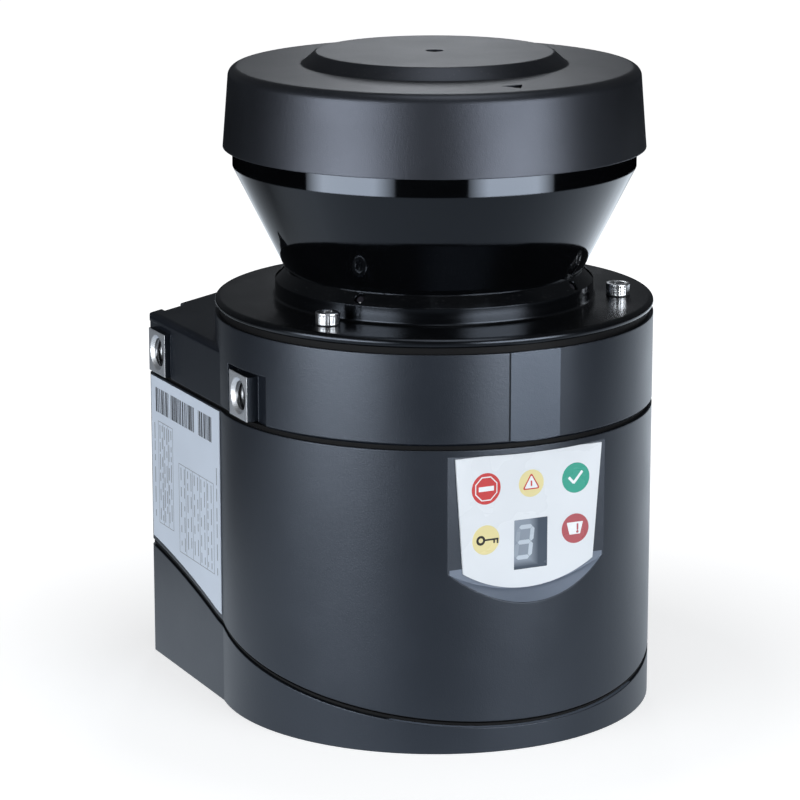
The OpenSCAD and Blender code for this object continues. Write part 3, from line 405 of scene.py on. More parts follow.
def make_handling():
    """Slow variation left by handling and cleaning, 0 to 1, and faint wipe marks."""
    group, t, given, out = new_group("handling_marks", [("Patch", 25.0), ("Streak", 0.5)],
                                     [("Patches", "Float"), ("Wipes", "Float")])
    place = t.place()
    scale = t.math("DIVIDE", 1000.0, given["Patch"])
    patch = t.noise(place, scale, Detail=3.0, Roughness=0.55)
    flat = t.add("ShaderNodeMapping", {"Vector": place, "Scale": (1.0, 1.0, 6.0)}).outputs[0]
    wipe = t.noise(flat, 90.0, Detail=4.0, Distortion=0.6)
    t.link(t.ramp(patch, 0.3, 0.7), out["Patches"])
    t.link(t.product(t.ramp(wipe, 0.55, 0.8), given["Streak"]), out["Wipes"])
    return group


def make_edge_wear():
    """Edges: how far the surface turns within the radius, broken up by noise, as a mask,
    and the normal rounded over that radius."""
    group, t, given, out = new_group("edge_wear", [("Radius", 0.0004), ("Amount", 0.5)],
                                     [("Mask", "Float"), ("Normal", "Vector")])
    soft = t.add("ShaderNodeBevel", {"Radius": given["Radius"]}, samples=4).outputs[0]
    true = t.add("ShaderNodeNewGeometry").outputs["Normal"]
    agree = t.add("ShaderNodeVectorMath", {0: soft, 1: true}, operation="DOT_PRODUCT").outputs[1]
    edge = t.ramp(agree, 0.985, 0.88)
    chips = t.noise(t.place(), 900.0, Detail=3.0)
    t.link(t.product(edge, t.ramp(chips, 0.35, 0.65), given["Amount"]), out["Mask"])
    t.link(soft, out["Normal"])
    return group


def make_dust():
    """Dust that settles on what faces up, in soft clumps and single specks."""
    group, t, given, out = new_group("settled_dust", [("Amount", 0.3)], [("Mask", "Float")])
    normal = t.add("ShaderNodeNewGeometry").outputs["Normal"]
    up = t.ramp(t.split(normal)["Z"], 0.3, 1.0)
    place = t.place()
    clump = t.noise(place, 60.0, Detail=5.0)
    speck = t.add("ShaderNodeTexVoronoi", {"Vector": place, "Scale": 700.0}).outputs["Distance"]
    clumps = t.product(t.ramp(clump, 0.35, 0.75), 0.35)
    dots = t.product(t.ramp(speck, 0.22, 0.12), 0.8)
    t.link(t.product(t.math("MAXIMUM", clumps, dots), up, given["Amount"]), out["Mask"])
    return group


GRAIN = make_grain()
HANDLING = make_handling()
EDGE_WEAR = make_edge_wear()
DUST = make_dust()
DUST_COLOR = (0.34, 0.33, 0.31)
COOL_TINT = (0.76, 0.85, 1.0, 1.0)        # of the gloss on paint and window


def use(t, group, **values):
    """Places a shared effect in a material with its own values."""
    node = t.add("ShaderNodeGroup", node_tree=group)
    for label, value in values.items():
        node.inputs[label].default_value = value
    return node.outputs


def new_material(name):
    """A material with its nodes cleared down to a Principled shader and its output."""
    material = bpy.data.materials.new(name)
    material.use_nodes = True
    material.node_tree.nodes.clear()
    t = Tree(material.node_tree)
    shader = t.add("ShaderNodeBsdfPrincipled")
    output = t.add("ShaderNodeOutputMaterial")
    t.link(shader.outputs[0], output.inputs["Surface"])
    return material, t, shader


def set_plain(shader, **values):
    """Sets constants straight on the shader's sockets; underscores stand for spaces."""
    for label, value in values.items():
        shader.inputs[label.replace("_", " ")].default_value = value


def finish_nodes(name, color, rough, rough_spread=0.08, tone=0.15, grain=0.3, bump=0.15,
                 patch=25.0, dust=0.2, edge=0.0, edge_color=None, rounding=0.0, speckle=0.0,
                 **plain):
    """A detailed finish: grain and rounding in the normal, and handling, dust and wear in the
    colour and roughness. Constants in plain go straight onto the shader."""
    material, t, shader = new_material(name)
    fine = use(t, GRAIN, Size=grain)
    slow = use(t, HANDLING, Patch=patch)
    lie = use(t, DUST, Amount=dust)
    dark = tuple(c * (1 - tone) for c in color)
    light = tuple(min(1, c * (1 + tone)) for c in color)
    shade = t.mix(slow["Patches"], dark, light)
    if speckle:
        shade = t.mix(t.product(fine["Speckle"], speckle), shade,
                      tuple(min(1, c * 2.2 + 0.01) for c in color))
    shade = t.mix(lie["Mask"], shade, DUST_COLOR)
    roughness = t.ramp(slow["Patches"], 0, 1, rough - rough_spread, rough + rough_spread)
    roughness = t.math("ADD", roughness, t.product(slow["Wipes"], -0.6 * rough_spread))
    roughness = t.math("ADD", roughness, t.product(lie["Mask"], 0.35), clamp=True)
    surface = t.add("ShaderNodeBump", {"Height": fine["Height"], "Strength": bump,
                                       "Distance": grain * MM * 0.35})
    if rounding or edge:
        worn = use(t, EDGE_WEAR, Radius=max(rounding, 0.2 * MM), Amount=edge)
        t.link(worn["Normal"], surface.inputs["Normal"])
        if edge:
            shade = t.mix(worn["Mask"], shade, edge_color or light)
    t.link(shade, shader.inputs["Base Color"])
    t.link(roughness, shader.inputs["Roughness"])
    t.link(surface.outputs[0], shader.inputs["Normal"])
    set_plain(shader, **plain)
    return material, t, shader


def finish_material(name, color, rough, **values):
    """A finish that needs nothing beyond what finish_nodes gives it."""
    return finish_nodes(name, color, rough, **values)[0]


def paint_material():
    """Satin powder coat on the castings, with the side bosses' faces and bores machined bare.

    Metal shows where |x| lies beyond the round housing, inside the four side bores
    (distance from a bore's axis in Y and Z under the thread's outer radius), and inside
    the four rear bores. The flat strip down the front of the upper housing gets a lighter
    colour as a painted highlight, and the ledge under the display a lighter colour as a
    painted reflection of the film above it; a dark line of painted shade runs down the
    strip's left edge.
    """
    material, t, shader = finish_nodes(
        "powder_coat", (0.0035, 0.0048, 0.008), 0.34, rough_spread=0.03, tone=0.12, grain=0.32,
        bump=0.2, dust=0.1, edge=0.3, edge_color=(0.06, 0.07, 0.085), rounding=0.35 * MM,
        speckle=0.1, Specular_IOR_Level=0.95, Specular_Tint=COOL_TINT)
    place = t.place()
    axis = t.split(place)
    x = t.math("ABSOLUTE", axis["X"])

    def squares(u, w):
        """u * u + w * w."""
        return t.math("ADD", t.product(u, u), t.product(w, w))

    def near(u, u0, w, w0, r):
        """1 where (u, w) lies less than r from (u0, w0)."""
        return t.below(squares(t.math("SUBTRACT", u, u0), t.math("SUBTRACT", w, w0)), r * r)

    bare = t.above(x, BOSS_FACE_X - 0.05 * MM)
    for y in BOSS_Y:
        bore = near(axis["Y"], y, axis["Z"], BOSS_Z, SIDE_CORE_R + 0.9 * MM)
        bare = t.math("MAXIMUM", bare, t.product(bore, t.above(x, SIDE_BORE_X)))
    for z in REAR_Z:
        bore = near(x, REAR_X, axis["Z"], z, REAR_CORE_R + 0.02 * MM)
        bare = t.math("MAXIMUM", bare, t.product(bore, t.above(axis["Y"], BACK_Y - REAR_DEPTH)))

    on_shell = t.above(axis["Z"], SHELL_Z)
    # painted highlight: mask of the flat strip, which gets a lighter colour where it catches light
    strip = t.product(t.below(x, FACET_HALF), t.below(axis["Y"], FACET_Y + 0.05 * MM), on_shell)
    # painted shade: a near-black line beside the strip's left edge, where the strip meets the round
    # wall
    beside = t.math("ABSOLUTE", t.math("ADD", axis["X"], FACET_HALF + 0.12 * MM))
    line = t.product(t.below(beside, 0.22 * MM), t.below(axis["Y"], FACET_Y * 0.98), on_shell)
    # painted reflection: mask of the ledge under the display, which gets a lighter colour for the
    # film mirrored in it
    ledge = t.product(t.below(t.math("SQRT", squares(x, axis["Y"])), BODY_R - 0.2 * MM),
                      t.below(axis["Z"], LEDGE_Z), t.below(axis["Y"], LEDGE_Y))

    # milling marks: arcs left by the cutter across the faces
    mill = t.add("ShaderNodeTexWave", {"Vector": place, "Scale": 900.0, "Distortion": 1.5,
                                       "Detail": 2.0, "Detail Scale": 2.0},
                 wave_type="RINGS", rings_direction="X").outputs["Fac"]
    metal = t.mix(mill, (0.72, 0.73, 0.75), (0.86, 0.87, 0.89))
    color = shader.inputs["Base Color"].links[0].from_socket
    rough = shader.inputs["Roughness"].links[0].from_socket
    # painted highlight: the strip's lighter colour stands for light it catches
    color = t.mix(strip, color, (0.017, 0.024, 0.037))
    # painted reflection of the display film on the ledge
    color = t.mix(ledge, color, (0.14, 0.165, 0.21))
    # painted shade along the strip's left edge
    color = t.mix(line, color, (0.0005, 0.0005, 0.0006))
    rough = t.math("MAXIMUM", rough, line)
    milled = t.ramp(mill, 0, 1, 0.4, 0.55)
    rough = t.add("ShaderNodeMix", {0: bare, 2: rough, 3: milled}, data_type="FLOAT").outputs[0]
    t.link(t.mix(bare, color, metal), shader.inputs["Base Color"])
    t.link(rough, shader.inputs["Roughness"])
    t.link(bare, shader.inputs["Metallic"])
    return material


def smoked_material():
    """Polished infrared plastic: nearly black, with a deep gloss and hair-fine wipe marks.

    The foot is moulded with a satin face: roughness rises as Z falls to the foot.
    """
    material, t, shader = new_material("smoked_window")
    slow = use(t, HANDLING, Patch=18.0, Streak=1.0)
    lie = use(t, DUST, Amount=0.1)
    shade = t.mix(slow["Patches"], (0.001, 0.0011, 0.0014), (0.0016, 0.0018, 0.0022))
    shade = t.mix(lie["Mask"], shade, (0.2, 0.2, 0.2))
    rough = t.ramp(slow["Patches"], 0, 1, 0.045, 0.075)
    rough = t.math("ADD", rough, t.product(slow["Wipes"], 0.05))
    rough = t.math("ADD", rough, t.product(lie["Mask"], 0.4), clamp=True)
    place = t.place()
    height = t.split(place)["Z"]
    rough = t.math("ADD", rough, t.ramp(height, FOOT_Z + 4 * MM, FOOT_Z + 7 * MM, 0.13, 0.0))
    worn = use(t, EDGE_WEAR, Radius=0.35 * MM, Amount=0.0)
    swell = t.noise(place, 22.0)
    surface = t.add("ShaderNodeBump", {"Height": swell, "Strength": 0.05, "Distance": 0.4 * MM,
                                       "Normal": worn["Normal"]})
    t.link(shade, shader.inputs["Base Color"])
    t.link(rough, shader.inputs["Roughness"])
    t.link(surface.outputs[0], shader.inputs["Normal"])
    set_plain(shader, IOR=1.5, Specular_IOR_Level=0.6, Specular_Tint=COOL_TINT)
    return material


def metal_material(name, color, rough, grain=0.2):
    """Bare metal with fine grain, softened edges and next to no dust."""
    return finish_material(name, color, rough, rough_spread=0.07, tone=0.07, grain=grain,
                           bump=0.08, patch=8.0, dust=0.03, rounding=0.12 * MM, Metallic=1.0)


PAINT = paint_material()
SMOKED = smoked_material()
CAP = finish_material("textured_cap", (0.005, 0.0056, 0.007), 0.4, rough_spread=0.03, tone=0.1,
                      grain=0.26, bump=0.3, dust=0.1, edge=0.2, edge_color=(0.045, 0.05, 0.06),
                      rounding=0.4 * MM, speckle=0.12, Specular_IOR_Level=0.78,
                      Specular_Tint=(0.78, 0.84, 1.0, 1.0))
RUBBER = finish_material("seal_rubber", (0.004, 0.004, 0.0045), 0.6, tone=0.2, grain=0.5,
                         bump=0.2, dust=0.04, Specular_IOR_Level=0.15)
SCREW = metal_material("plated_screw", (0.74, 0.75, 0.77), 0.24)
# painted shade: the turns inside the bores get a dark colour that stands for the shade inside them
SHADED_THREAD = metal_material("cut_thread_shaded", (0.2, 0.205, 0.215), 0.3)
FILM = finish_material("display_film", (0.7, 0.73, 0.765), 0.3, rough_spread=0.05, tone=0.02,
                       grain=0.18, bump=0.06, dust=0.05, Coat_Weight=0.3, Coat_Roughness=0.12)
LABEL = finish_material("label_film", (0.57, 0.63, 0.72), 0.38, rough_spread=0.06, tone=0.03,
                        grain=0.4, bump=0.08, dust=0.08)
INK = finish_material("label_ink", (0.035, 0.037, 0.042), 0.5, tone=0.2, grain=0.15, bump=0.1)
GREY_INK = finish_material("label_grey_ink", (0.2, 0.21, 0.23), 0.5, tone=0.15, grain=0.15,
                           bump=0.1)
SENSOR = finish_material("sensor_lens", (0.016, 0.015, 0.02), 0.12, rough_spread=0.04, tone=0.2,
                         grain=0.4, bump=0.03)


def print_material(name, color):
    """Screen-printed colour on the film: dense, with the film's slow gloss over it."""
    return finish_material(name, color, 0.28, rough_spread=0.05, tone=0.05, grain=0.12,
                           bump=0.08, dust=0.04, Coat_Weight=0.25, Coat_Roughness=0.15)


RED = print_material("print_red", (0.56, 0.045, 0.045))
AMBER = print_material("print_amber", (0.76, 0.67, 0.34))
GREEN = print_material("print_green", (0.03, 0.33, 0.24))
ROSE = print_material("print_rose", (0.42, 0.09, 0.105))
WHITE = print_material("print_white", (0.82, 0.84, 0.86))
DARK = print_material("print_dark", (0.03, 0.026, 0.024))
SEGMENT = print_material("digit_segment", (0.47, 0.53, 0.6))
UNLIT = print_material("digit_unlit", (0.28, 0.325, 0.385))


def digit_material():
    """Grey filter of the digit, from pale at the left to dark slate at the right and foot."""
    material, t, shader = finish_nodes("digit_face", (0.2, 0.2, 0.2), 0.2, tone=0.04, grain=0.12,
                                       bump=0.04, dust=0.03)
    axis = t.split(t.place())
    across = t.ramp(axis["X"], DIGIT_MID_X - 0.4 * MM, DIGIT_MID_X + 2.0 * MM)
    down = t.ramp(axis["Z"], DIGIT_MID_Z - 3.6 * MM, DIGIT_MID_Z - 5.2 * MM)
    dark = t.math("MAXIMUM", across, down)
    t.link(t.mix(dark, (0.25, 0.29, 0.345), (0.06, 0.078, 0.107)), shader.inputs["Base Color"])
    return material


DIGIT = digit_material()
LIGHT_GUIDE = finish_material("light_guide", (0.75, 0.78, 0.8), 0.2, tone=0.05, grain=0.3,
                              bump=0.03)
BLACK_PLASTIC = finish_material("black_moulding", (0.02, 0.021, 0.023), 0.45, tone=0.2,
                                grain=0.3, bump=0.15)
CAST = finish_material("bare_casting", (0.5, 0.51, 0.53), 0.42, tone=0.12, grain=0.5, bump=0.25,
                       Metallic=1.0)
ANODISED = finish_material("black_anodised", (0.03, 0.031, 0.034), 0.4, tone=0.15, grain=0.2,
                           bump=0.06)
STEEL = metal_material("motor_steel", (0.45, 0.46, 0.47), 0.3)
COPPER = metal_material("enamelled_copper", (0.62, 0.27, 0.12), 0.28, grain=0.1)
BRASS = metal_material("turned_brass", (0.66, 0.5, 0.26), 0.25)
NICKEL = metal_material("plated_gland", (0.55, 0.55, 0.56), 0.27)
MAGNET = finish_material("bonded_magnet", (0.1, 0.1, 0.105), 0.5, tone=0.15, grain=0.4,
                         bump=0.2)
ROTOR = finish_material("glass_filled_moulding", (0.03, 0.032, 0.035), 0.5, tone=0.15, grain=0.3,
                        bump=0.2)
MIRROR = finish_material("front_mirror", (0.88, 0.9, 0.93), 0.03, rough_spread=0.01, tone=0.01,
                         grain=0.5, bump=0.005, dust=0.02, Metallic=1.0)
LENS = finish_material("coated_lens", (0.55, 0.65, 0.75), 0.05, rough_spread=0.02, tone=0.02,
                       grain=0.5, bump=0.005, Transmission_Weight=0.9, IOR=1.6)
BOARD = finish_material("solder_resist", (0.02, 0.16, 0.08), 0.32, tone=0.2, grain=0.4,
                        bump=0.1)

NODE_FINISH = {
    "lower_housing": PAINT, "upper_housing": PAINT, "system_plug": PAINT,
    "cap": CAP, "optics_cover": SMOKED, "display_panel": FILM, "type_label": LABEL,
    "plug_seal": RUBBER, "housing_seal": RUBBER, "cover_seal": RUBBER,
    "contamination_sensors": SENSOR, "digit_display": DIGIT, "light_pipes": LIGHT_GUIDE,
    "plug_screws": SCREW, "housing_screws": SCREW, "frame_screws": SCREW, "board_screws": SCREW,
    "cover_screws": SCREW, "lower_bearing": SCREW, "upper_bearing": SCREW, "rotor_shaft": SCREW,
    "shaft_clip": STEEL, "stator_core": STEEL, "stator_coils": COPPER, "motor_bell": CAST,
    "scanner_frame": CAST, "magnet_ring": MAGNET, "mirror_holder": ROTOR, "scan_mirror": MIRROR,
    "encoder_disc": BRASS, "encoder_sensor": BLACK_PLASTIC, "receiver_lens": LENS,
    "lens_ring": ANODISED, "lens_barrel": ANODISED, "laser_module": BRASS,
    "detector_board": BOARD, "main_board": BOARD, "logic_board": BOARD, "board_spacers": BRASS,
    "display_board": BOARD, "plug_board": BOARD, "housing_connector": BLACK_PLASTIC,
    "plug_connector": BLACK_PLASTIC, "cable_gland": NICKEL,
}
for name, obj in nodes.items():
    obj.data.materials.clear()
    obj.data.materials.append(NODE_FINISH[name])

# ---------------------------------------------------------------- display

PRINT_H = 0.03 * MM      # thickness of one layer of print
FOOT = 0.02 * MM         # how far a layer reaches back into what carries it


def plates(parts):
    """Plates from (outline, x, z, layer), with higher layers standing further out."""
    return [plate(outline, x, z, FOOT, PRINT_H * layer) for outline, x, z, layer in parts]


def on_film(name, made, material):
    """Joins the surfaces made into one printed piece on the display film."""
    add_piece(name, *merge(made), material, "housing", "display_film", smooth=False)


stop_x, stop_z = LAMP_LEFT, LAMP_TOP
warn_x, warn_z = LAMP_MID, LAMP_TOP
good_x, good_z = LAMP_RIGHT, LAMP_TOP
key_x, key_z = LAMP_LEFT, LAMP_BOTTOM
clean_x, clean_z = LAMP_RIGHT, LAMP_BOTTOM

# round fields behind the symbols: name, radius, place, colour
for field, radius, x, z, ink in (("stop_field", 3.6 * MM, stop_x, stop_z, RED),
                                 ("warning_field", 3.15 * MM, warn_x, warn_z, AMBER),
                                 ("ready_field", 3.5 * MM, good_x, good_z, GREEN),
                                 ("reset_field", 3.4 * MM, key_x, key_z, AMBER),
                                 ("window_field", 3.45 * MM, clean_x, clean_z, ROSE)):
    on_film(field, plates([(circle(radius), x, z, 1)]), ink)

# stop: an octagon resting on a side, with a white edge and a bar
eighth = TAU / 16
on_film("stop_octagon_edge", plates([(circle(3.0 * MM, 8, eighth), stop_x, stop_z, 2)]), WHITE)
on_film("stop_octagon", plates([(circle(2.72 * MM, 8, eighth), stop_x, stop_z, 3)]), RED)
on_film("stop_bar", plates([(bar(3.8 * MM, 1.1 * MM, r=0.12 * MM), stop_x, stop_z, 4)]), WHITE)


def triangle(side, r):
    """An upright triangle with rounded corners, centred on its centroid."""
    h = side * math.sqrt(3) / 2
    return rounded_polygon([[-side / 2, -h / 3], [side / 2, -h / 3], [0, 2 * h / 3]], r)


sign_z = warn_z - 0.1 * MM
on_film("warning_edge", plates([(triangle(4.5 * MM, 0.35 * MM), warn_x, sign_z, 2)]), RED)
on_film("warning_triangle", plates([(triangle(3.5 * MM, 0.2 * MM), warn_x, sign_z, 3)]), WHITE)
on_film("warning_bar", plates([(bar(0.36 * MM, 1.3 * MM, r=0.1 * MM), warn_x, warn_z, 4)]), RED)

# tick: a short and a long stroke
tick_w = 0.62 * MM
on_film("ready_tick", plates([
    (bar(1.9 * MM, tick_w, turn=math.radians(-47)), good_x - 1.15 * MM, good_z - 0.45 * MM, 2),
    (bar(3.5 * MM, tick_w, turn=math.radians(50)), good_x + 0.52 * MM, good_z + 0.1 * MM, 2.2),
]), WHITE)

# key: a ring, a shaft and two bits
ring = band(circle(0.55 * MM, 40), circle(1.12 * MM, 40), key_x - 1.3 * MM, key_z, FOOT,
            2 * PRINT_H)
key_bars = [(bar(3.5 * MM, 0.42 * MM, r=0.08 * MM), key_x + 1.4 * MM, key_z, 2),
            (bar(0.42 * MM, 1.0 * MM, r=0.06 * MM), key_x + 2.9 * MM, key_z - 0.55 * MM, 2.1),
            (bar(0.42 * MM, 0.85 * MM, r=0.06 * MM), key_x + 2.05 * MM, key_z - 0.5 * MM, 2.1)]
on_film("reset_key", [ring] + plates(key_bars), DARK)

# window symbol: a tapered window with a wiper and its dot
trapezoid = rounded_polygon([[-1.35 * MM, -1.5 * MM], [1.35 * MM, -1.5 * MM],
                             [2.1 * MM, 1.35 * MM], [-2.1 * MM, 1.35 * MM]], 0.2 * MM)
on_film("window_shape", plates([(trapezoid, clean_x - 0.1 * MM, clean_z + 0.15 * MM, 2)]), WHITE)
wiper_x = clean_x + 0.55 * MM
on_film("window_wiper", plates([
    (bar(0.42 * MM, 1.5 * MM, r=0.1 * MM), wiper_x, clean_z + 0.35 * MM, 3),
    (circle(0.32 * MM, 24), wiper_x, clean_z - 0.8 * MM, 3)]), ROSE)

# digit window: darker to the right, with seven broad bars of which five are lit
digit_w = digit_high.x - digit_low.x
digit_h = digit_high.z - digit_low.z
pane = bar(digit_w, digit_h, r=0.15 * MM)
on_film("digit_window", plates([(pane, DIGIT_MID_X, DIGIT_MID_Z, 1)]), DIGIT)


def segment(length, width):
    """One bar of the digit: a hexagon with pointed ends."""
    a, b = length / 2, width / 2
    return rounded_polygon([[-a + b, -b], [a - b, -b], [a, 0], [a - b, b], [-a + b, b], [-a, 0]],
                           0.1 * MM, 3)


def turned(outline):
    """An outline turned a quarter, anticlockwise."""
    return outline @ np.array([[0, 1], [-1, 0]], float)


SEG_L, SEG_W, SEG_GAP = 3.4 * MM, 1.0 * MM, 0.1 * MM
SEG_STEP = SEG_L + SEG_GAP
slant = math.tan(math.radians(6))
digit_x, digit_z = DIGIT_MID_X - 1.65 * MM, DIGIT_MID_Z + 0.5 * MM
lit, unlit = [], []
for row in (-1, 0, 1):
    z = row * SEG_STEP
    lit.append((segment(SEG_L, SEG_W), digit_x + z * slant, digit_z + z, 2))
for side in (-1, 1):
    for row in (-0.5, 0.5):
        z = row * SEG_STEP
        upright = turned(segment(SEG_L, SEG_W))
        upright[:, 0] += upright[:, 1] * slant
        x = digit_x + side * SEG_STEP / 2 + z * slant
        (lit if side > 0 else unlit).append((upright, x, digit_z + z, 2))
on_film("digit_segments", plates(lit), SEGMENT)
on_film("digit_unlit", plates(unlit), UNLIT)

# ---------------------------------------------------------------- label

label_x = label_low.x
INK_T = 0.02 * MM
rng = np.random.default_rng(7)

# the label's layout, in millimetres from its rear and its top edge; each frame and each block
# of entries is rear, top, width, height, and its number of columns or lines
BAR_GROUPS = ((2.9, 11.4), (12.4, 27.2), (29.6, 37.8))
BARS_TOP, BARS_HEIGHT = 2.5, 6.0
RULE_WIDTH, STROKE_WIDTH = 0.13, 0.32
FRAMES = ((4.2, 10.6, 9.2, 25.5, 3), (17.0, 18.2, 21.5, 22.0, 5))
ENTRIES = ((4.6, 11.4, 8.4, 23.8, 6), (17.4, 19.0, 20.6, 20.4, 10),
           (1.2, 11.5, 1.6, 26.0, 1), (39.6, 14.0, 1.6, 26.0, 1))


def on_label(rear, top, width, height):
    """A rectangle on the label, as (y0, z0, y1, z1), from its place and size in millimetres."""
    y1, z1 = label_high.y - rear * MM, label_high.z - top * MM
    return y1 - width * MM, z1 - height * MM, y1, z1


def label_bars():
    """Three groups of upright bars of random width across the top of the label."""
    rects = []
    for start, end in BAR_GROUPS:
        at = start
        while at < end:
            width = rng.choice([0.25, 0.4, 0.55, 0.8])
            rects.append(on_label(at, BARS_TOP, min(width, end - at), BARS_HEIGHT))
            at += width + rng.choice([0.25, 0.4, 0.65])
    return rects


def label_frame(rear, top, width, height, columns):
    """Thin ruled frame divided into columns of equal width."""
    line = RULE_WIDTH
    rects = [on_label(rear, top, width, line), on_label(rear, top + height - line, width, line)]
    for k in range(columns + 1):
        at = rear + k * (width - line) / columns
        rects.append(on_label(at, top + line, line, height - 2 * line))
    return rects


def label_dashes(rear, top, width, height, lines):
    """Plain upright strokes of random length that stand for the lines of entries."""
    rects = []
    for k in range(lines):
        at = rear + (k + 0.5) * width / lines - STROKE_WIDTH / 2
        low = top
        while low < top + height - 1:
            length = min(rng.uniform(1.2, 4.5), top + height - low)
            rects.append(on_label(at, low, STROKE_WIDTH, length))
            low += length + rng.uniform(0.5, 2.2)
    return rects


def print_label(name, rects, ink):
    """One printed piece on the label."""
    add_piece(name, *slats(rects, label_x, INK_T), ink, "housing", "label_film", smooth=False)


print_label("label_bars", label_bars(), INK)
print_label("label_rules", [rule for part in FRAMES for rule in label_frame(*part)], GREY_INK)
print_label("label_entries", [dash for part in ENTRIES for dash in label_dashes(*part)], GREY_INK)

# ---------------------------------------------------------------- threads and screws

side_thread = thread(SIDE_CORE_R, depth=0.42 * MM, pitch=1.25 * MM, length=8 * MM)
MOUTH_X = BOSS_FACE_X - 0.8 * MM          # under the countersink of a side bore
INTO_LEFT = [[1, 0, 0], [0, 1, 0], [0, 0, 1]]
INTO_RIGHT = [[-1, 0, 0], [0, 1, 0], [0, 0, 1]]
side_parts = []
for y in BOSS_Y:
    side_parts.append(placed(side_thread, (-MOUTH_X, y, BOSS_Z), axes=INTO_LEFT))
    side_parts.append(placed(side_thread, (MOUTH_X, y, BOSS_Z), axes=INTO_RIGHT))
add_piece("side_thread_turns", *merge(side_parts), SHADED_THREAD, "housing", "frame_aluminium")

rear_thread = thread(REAR_CORE_R, depth=0.3 * MM, pitch=0.8 * MM, length=7.4 * MM, segments=36)
MOUTH_Y = BACK_Y - 0.02 * MM
INTO_BACK = [[0, 1, 0], [-1, 0, 0], [0, 0, 1]]
rear_parts = [placed(rear_thread, (side * REAR_X, MOUTH_Y, z), axes=INTO_BACK)
              for side in (-1, 1) for z in REAR_Z]
add_piece("rear_thread_turns", *merge(rear_parts), SHADED_THREAD, "housing", "frame_aluminium")

SCREWS, SCREW_CIRCLE = 3, 42.7 * MM
FIRST_SCREW = 210                         # degrees from +X
HEAD_H = 3 * MM
head = socket_screw(2.75 * MM, HEAD_H, key_r=1.44 * MM, key_depth=1.5 * MM, ribs=30)
shank = cylinder(1.5 * MM, -7 * MM, 0.05 * MM)
seat_z = screw_high.z - HEAD_H
heads = []
for k in range(SCREWS):
    a = math.radians(FIRST_SCREW + k * 360 / SCREWS)
    at = (SCREW_CIRCLE * math.cos(a), SCREW_CIRCLE * math.sin(a), seat_z)
    heads += [placed(head, at, turn_z=a), placed(shank, at)]
cover_heads = add_piece("cover_screw_heads", *merge(heads), SCREW, "housing", "screw_steel")
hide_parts("cover_screws")

# ---------------------------------------------------------------- studio

FLOOR_HALF = 6.0
LAMP_TINT = (0.93, 0.965, 1.0)


def floor_material():
    """A white table: diffuse under the lamps, white to the lens away from the object's shadow.

    Gloss and glass see a glow of near(d) * (front + (back(x, y) - front) * side(y)). near
    falls from 1 to 0 with the distance d, side rises from the front of the object to its
    back, and back rises from the left to the right; the left itself darkens towards the back.
    Distances are in metres from the object's axis.
    """
    material = bpy.data.materials.new("studio_floor")
    material.use_nodes = True
    material.node_tree.nodes.clear()
    t = Tree(material.node_tree)
    path = t.add("ShaderNodeLightPath").outputs
    place = t.add("ShaderNodeNewGeometry").outputs["Position"]
    away = t.add("ShaderNodeVectorMath", {0: place}, operation="LENGTH").outputs["Value"]
    axis = t.split(place)
    near = t.ramp(away, 0.42, 0.66, 1.0, 0.0)
    side = t.ramp(axis["Y"], -0.17, 0.12)
    front, left, right = 0.28, t.ramp(axis["Y"], 0.04, 0.17, 0.8, 0.16), 1.5
    across = t.ramp(axis["X"], -0.12, 0.13)
    back = t.math("ADD", left, t.product(across, t.math("SUBTRACT", right, left)))
    level = t.math("ADD", t.product(side, t.math("SUBTRACT", back, front)), front)
    lens = t.ramp(away, 0.08, 0.2, 0.66, 1.0)
    reflected = t.math("MAXIMUM", path["Is Glossy Ray"], path["Is Transmission Ray"])
    strength = t.math("ADD", t.product(path["Is Camera Ray"], lens),
                      t.product(reflected, t.product(near, level)))
    shade = t.ramp(reflected, 0, 1, 0.6, 0.0)
    grey = t.add("ShaderNodeCombineColor", {0: shade, 1: shade, 2: shade}).outputs[0]
    white = t.add("ShaderNodeBsdfDiffuse", {"Color": grey}).outputs[0]
    color = t.mix(reflected, (1.0, 1.0, 1.0), (0.84, 0.92, 1.0))
    glow = t.add("ShaderNodeEmission", {"Color": color, "Strength": strength}).outputs[0]
    both = t.add("ShaderNodeAddShader", {0: white, 1: glow}).outputs[0]
    clear = t.add("ShaderNodeBsdfTransparent").outputs[0]
    under = t.add("ShaderNodeNewGeometry").outputs["Backfacing"]
    top = t.add("ShaderNodeMixShader", {0: under, 1: both, 2: clear}).outputs[0]
    t.add("ShaderNodeOutputMaterial", {"Surface": top})
    return material


def floor():
    """One flat square under the object."""
    h = FLOOR_HALF
    mesh = bpy.data.meshes.new("studio_floor")
    z = cad_low.z - 0.05 * MM
    mesh.from_pydata([(-h, -h, z), (h, -h, z), (h, h, z), (-h, h, z)], [], [(0, 1, 2, 3)])
    mesh.materials.append(floor_material())
    piece = bpy.data.objects.new("studio_floor", mesh)
    bpy.context.scene.collection.objects.link(piece)


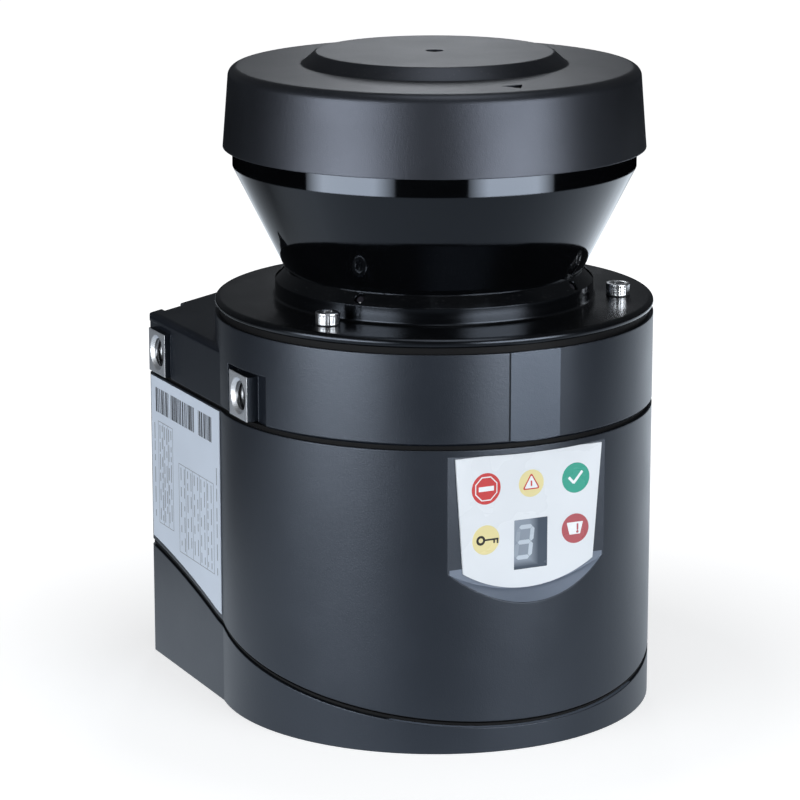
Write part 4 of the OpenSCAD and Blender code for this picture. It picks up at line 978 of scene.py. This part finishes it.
def softbox(name, azimuth, distance, low, size, glow, lean=0.0):
    """An upright rectangular lamp that faces the object's axis.

    azimuth 0 stands in front and 90 at +X. low is the height of its lower edge, and lean tips
    it forward. glow is its radiance, from which the power of a lamp of area A follows as
    pi * A * glow. Across its width it is even in the middle and falls off towards both ends,
    as the cloth of a soft box does.
    """
    lamp = bpy.data.lights.new(name, "AREA")
    lamp.shape = "RECTANGLE"
    lamp.size, lamp.size_y = size
    lamp.energy = math.pi * size[0] * size[1] * glow
    lamp.color = LAMP_TINT
    lamp.use_nodes = True
    lamp.node_tree.nodes.clear()
    t = Tree(lamp.node_tree)
    across = t.split(t.add("ShaderNodeNewGeometry").outputs["Parametric"])["X"]
    end = t.math("ABSOLUTE", t.math("SUBTRACT", across, 0.5))
    strength = t.ramp(end, 0.27, 0.5, 1.12, 0.15)
    cloth = t.add("ShaderNodeEmission", {"Strength": strength}).outputs[0]
    t.add("ShaderNodeOutputLight", {"Surface": cloth})
    obj = bpy.data.objects.new(name, lamp)
    a, tip = math.radians(azimuth), math.radians(lean)
    obj.location = (distance * math.sin(a), -distance * math.cos(a),
                    low + size[1] / 2 * math.cos(tip))
    obj.rotation_euler = (math.pi / 2 - tip, 0, a)
    bpy.context.scene.collection.objects.link(obj)


def studio_world():
    """White to the lens all round, and a dim room to everything else."""
    world = bpy.data.worlds.new("studio")
    bpy.context.scene.world = world
    world.use_nodes = True
    world.node_tree.nodes.clear()
    t = Tree(world.node_tree)
    path = t.add("ShaderNodeLightPath").outputs
    dim = t.add("ShaderNodeBackground", {"Color": (0.86, 0.92, 1, 1), "Strength": 0.05}).outputs[0]
    white = t.add("ShaderNodeBackground", {"Color": (1, 1, 1, 1), "Strength": 1.0}).outputs[0]
    mixed = t.add("ShaderNodeMixShader", {0: path["Is Camera Ray"], 1: dim, 2: white}).outputs[0]
    t.add("ShaderNodeOutputWorld", {"Surface": mixed})


def camera():
    """The lens stands left of the front and a little above, and looks down by its pitch."""
    lens = bpy.data.cameras.new("camera")
    lens.sensor_width = 36
    lens.lens = 153.471
    lens.clip_start, lens.clip_end = 0.01, 50
    obj = bpy.data.objects.new("camera", lens)
    turn, pitch, reach, height = math.radians(25.7577), math.radians(13.5022), 0.77814, 0.25655
    aside = -0.00793
    obj.location = (-reach * math.sin(turn) + aside * math.cos(turn),
                    -reach * math.cos(turn) - aside * math.sin(turn), height)
    obj.rotation_euler = (math.pi / 2 - pitch, 0, -turn)
    bpy.context.scene.collection.objects.link(obj)
    bpy.context.scene.camera = obj


floor()
studio_world()
camera()
softbox("box_right", azimuth=17, distance=0.62, low=0.0, size=(0.58, 0.24), glow=7.8)
softbox("box_left", azimuth=-74, distance=0.62, low=0.0, size=(0.62, 0.24), glow=7.6)
softbox("back_strip", azimuth=153.8, distance=0.8, low=0.36, size=(0.13, 0.5), glow=3.4)
softbox("overhead", azimuth=0, distance=0.2, low=0.75, size=(0.5, 0.5), glow=1.6, lean=90)
bpy.context.scene.view_settings.view_transform = "Standard"
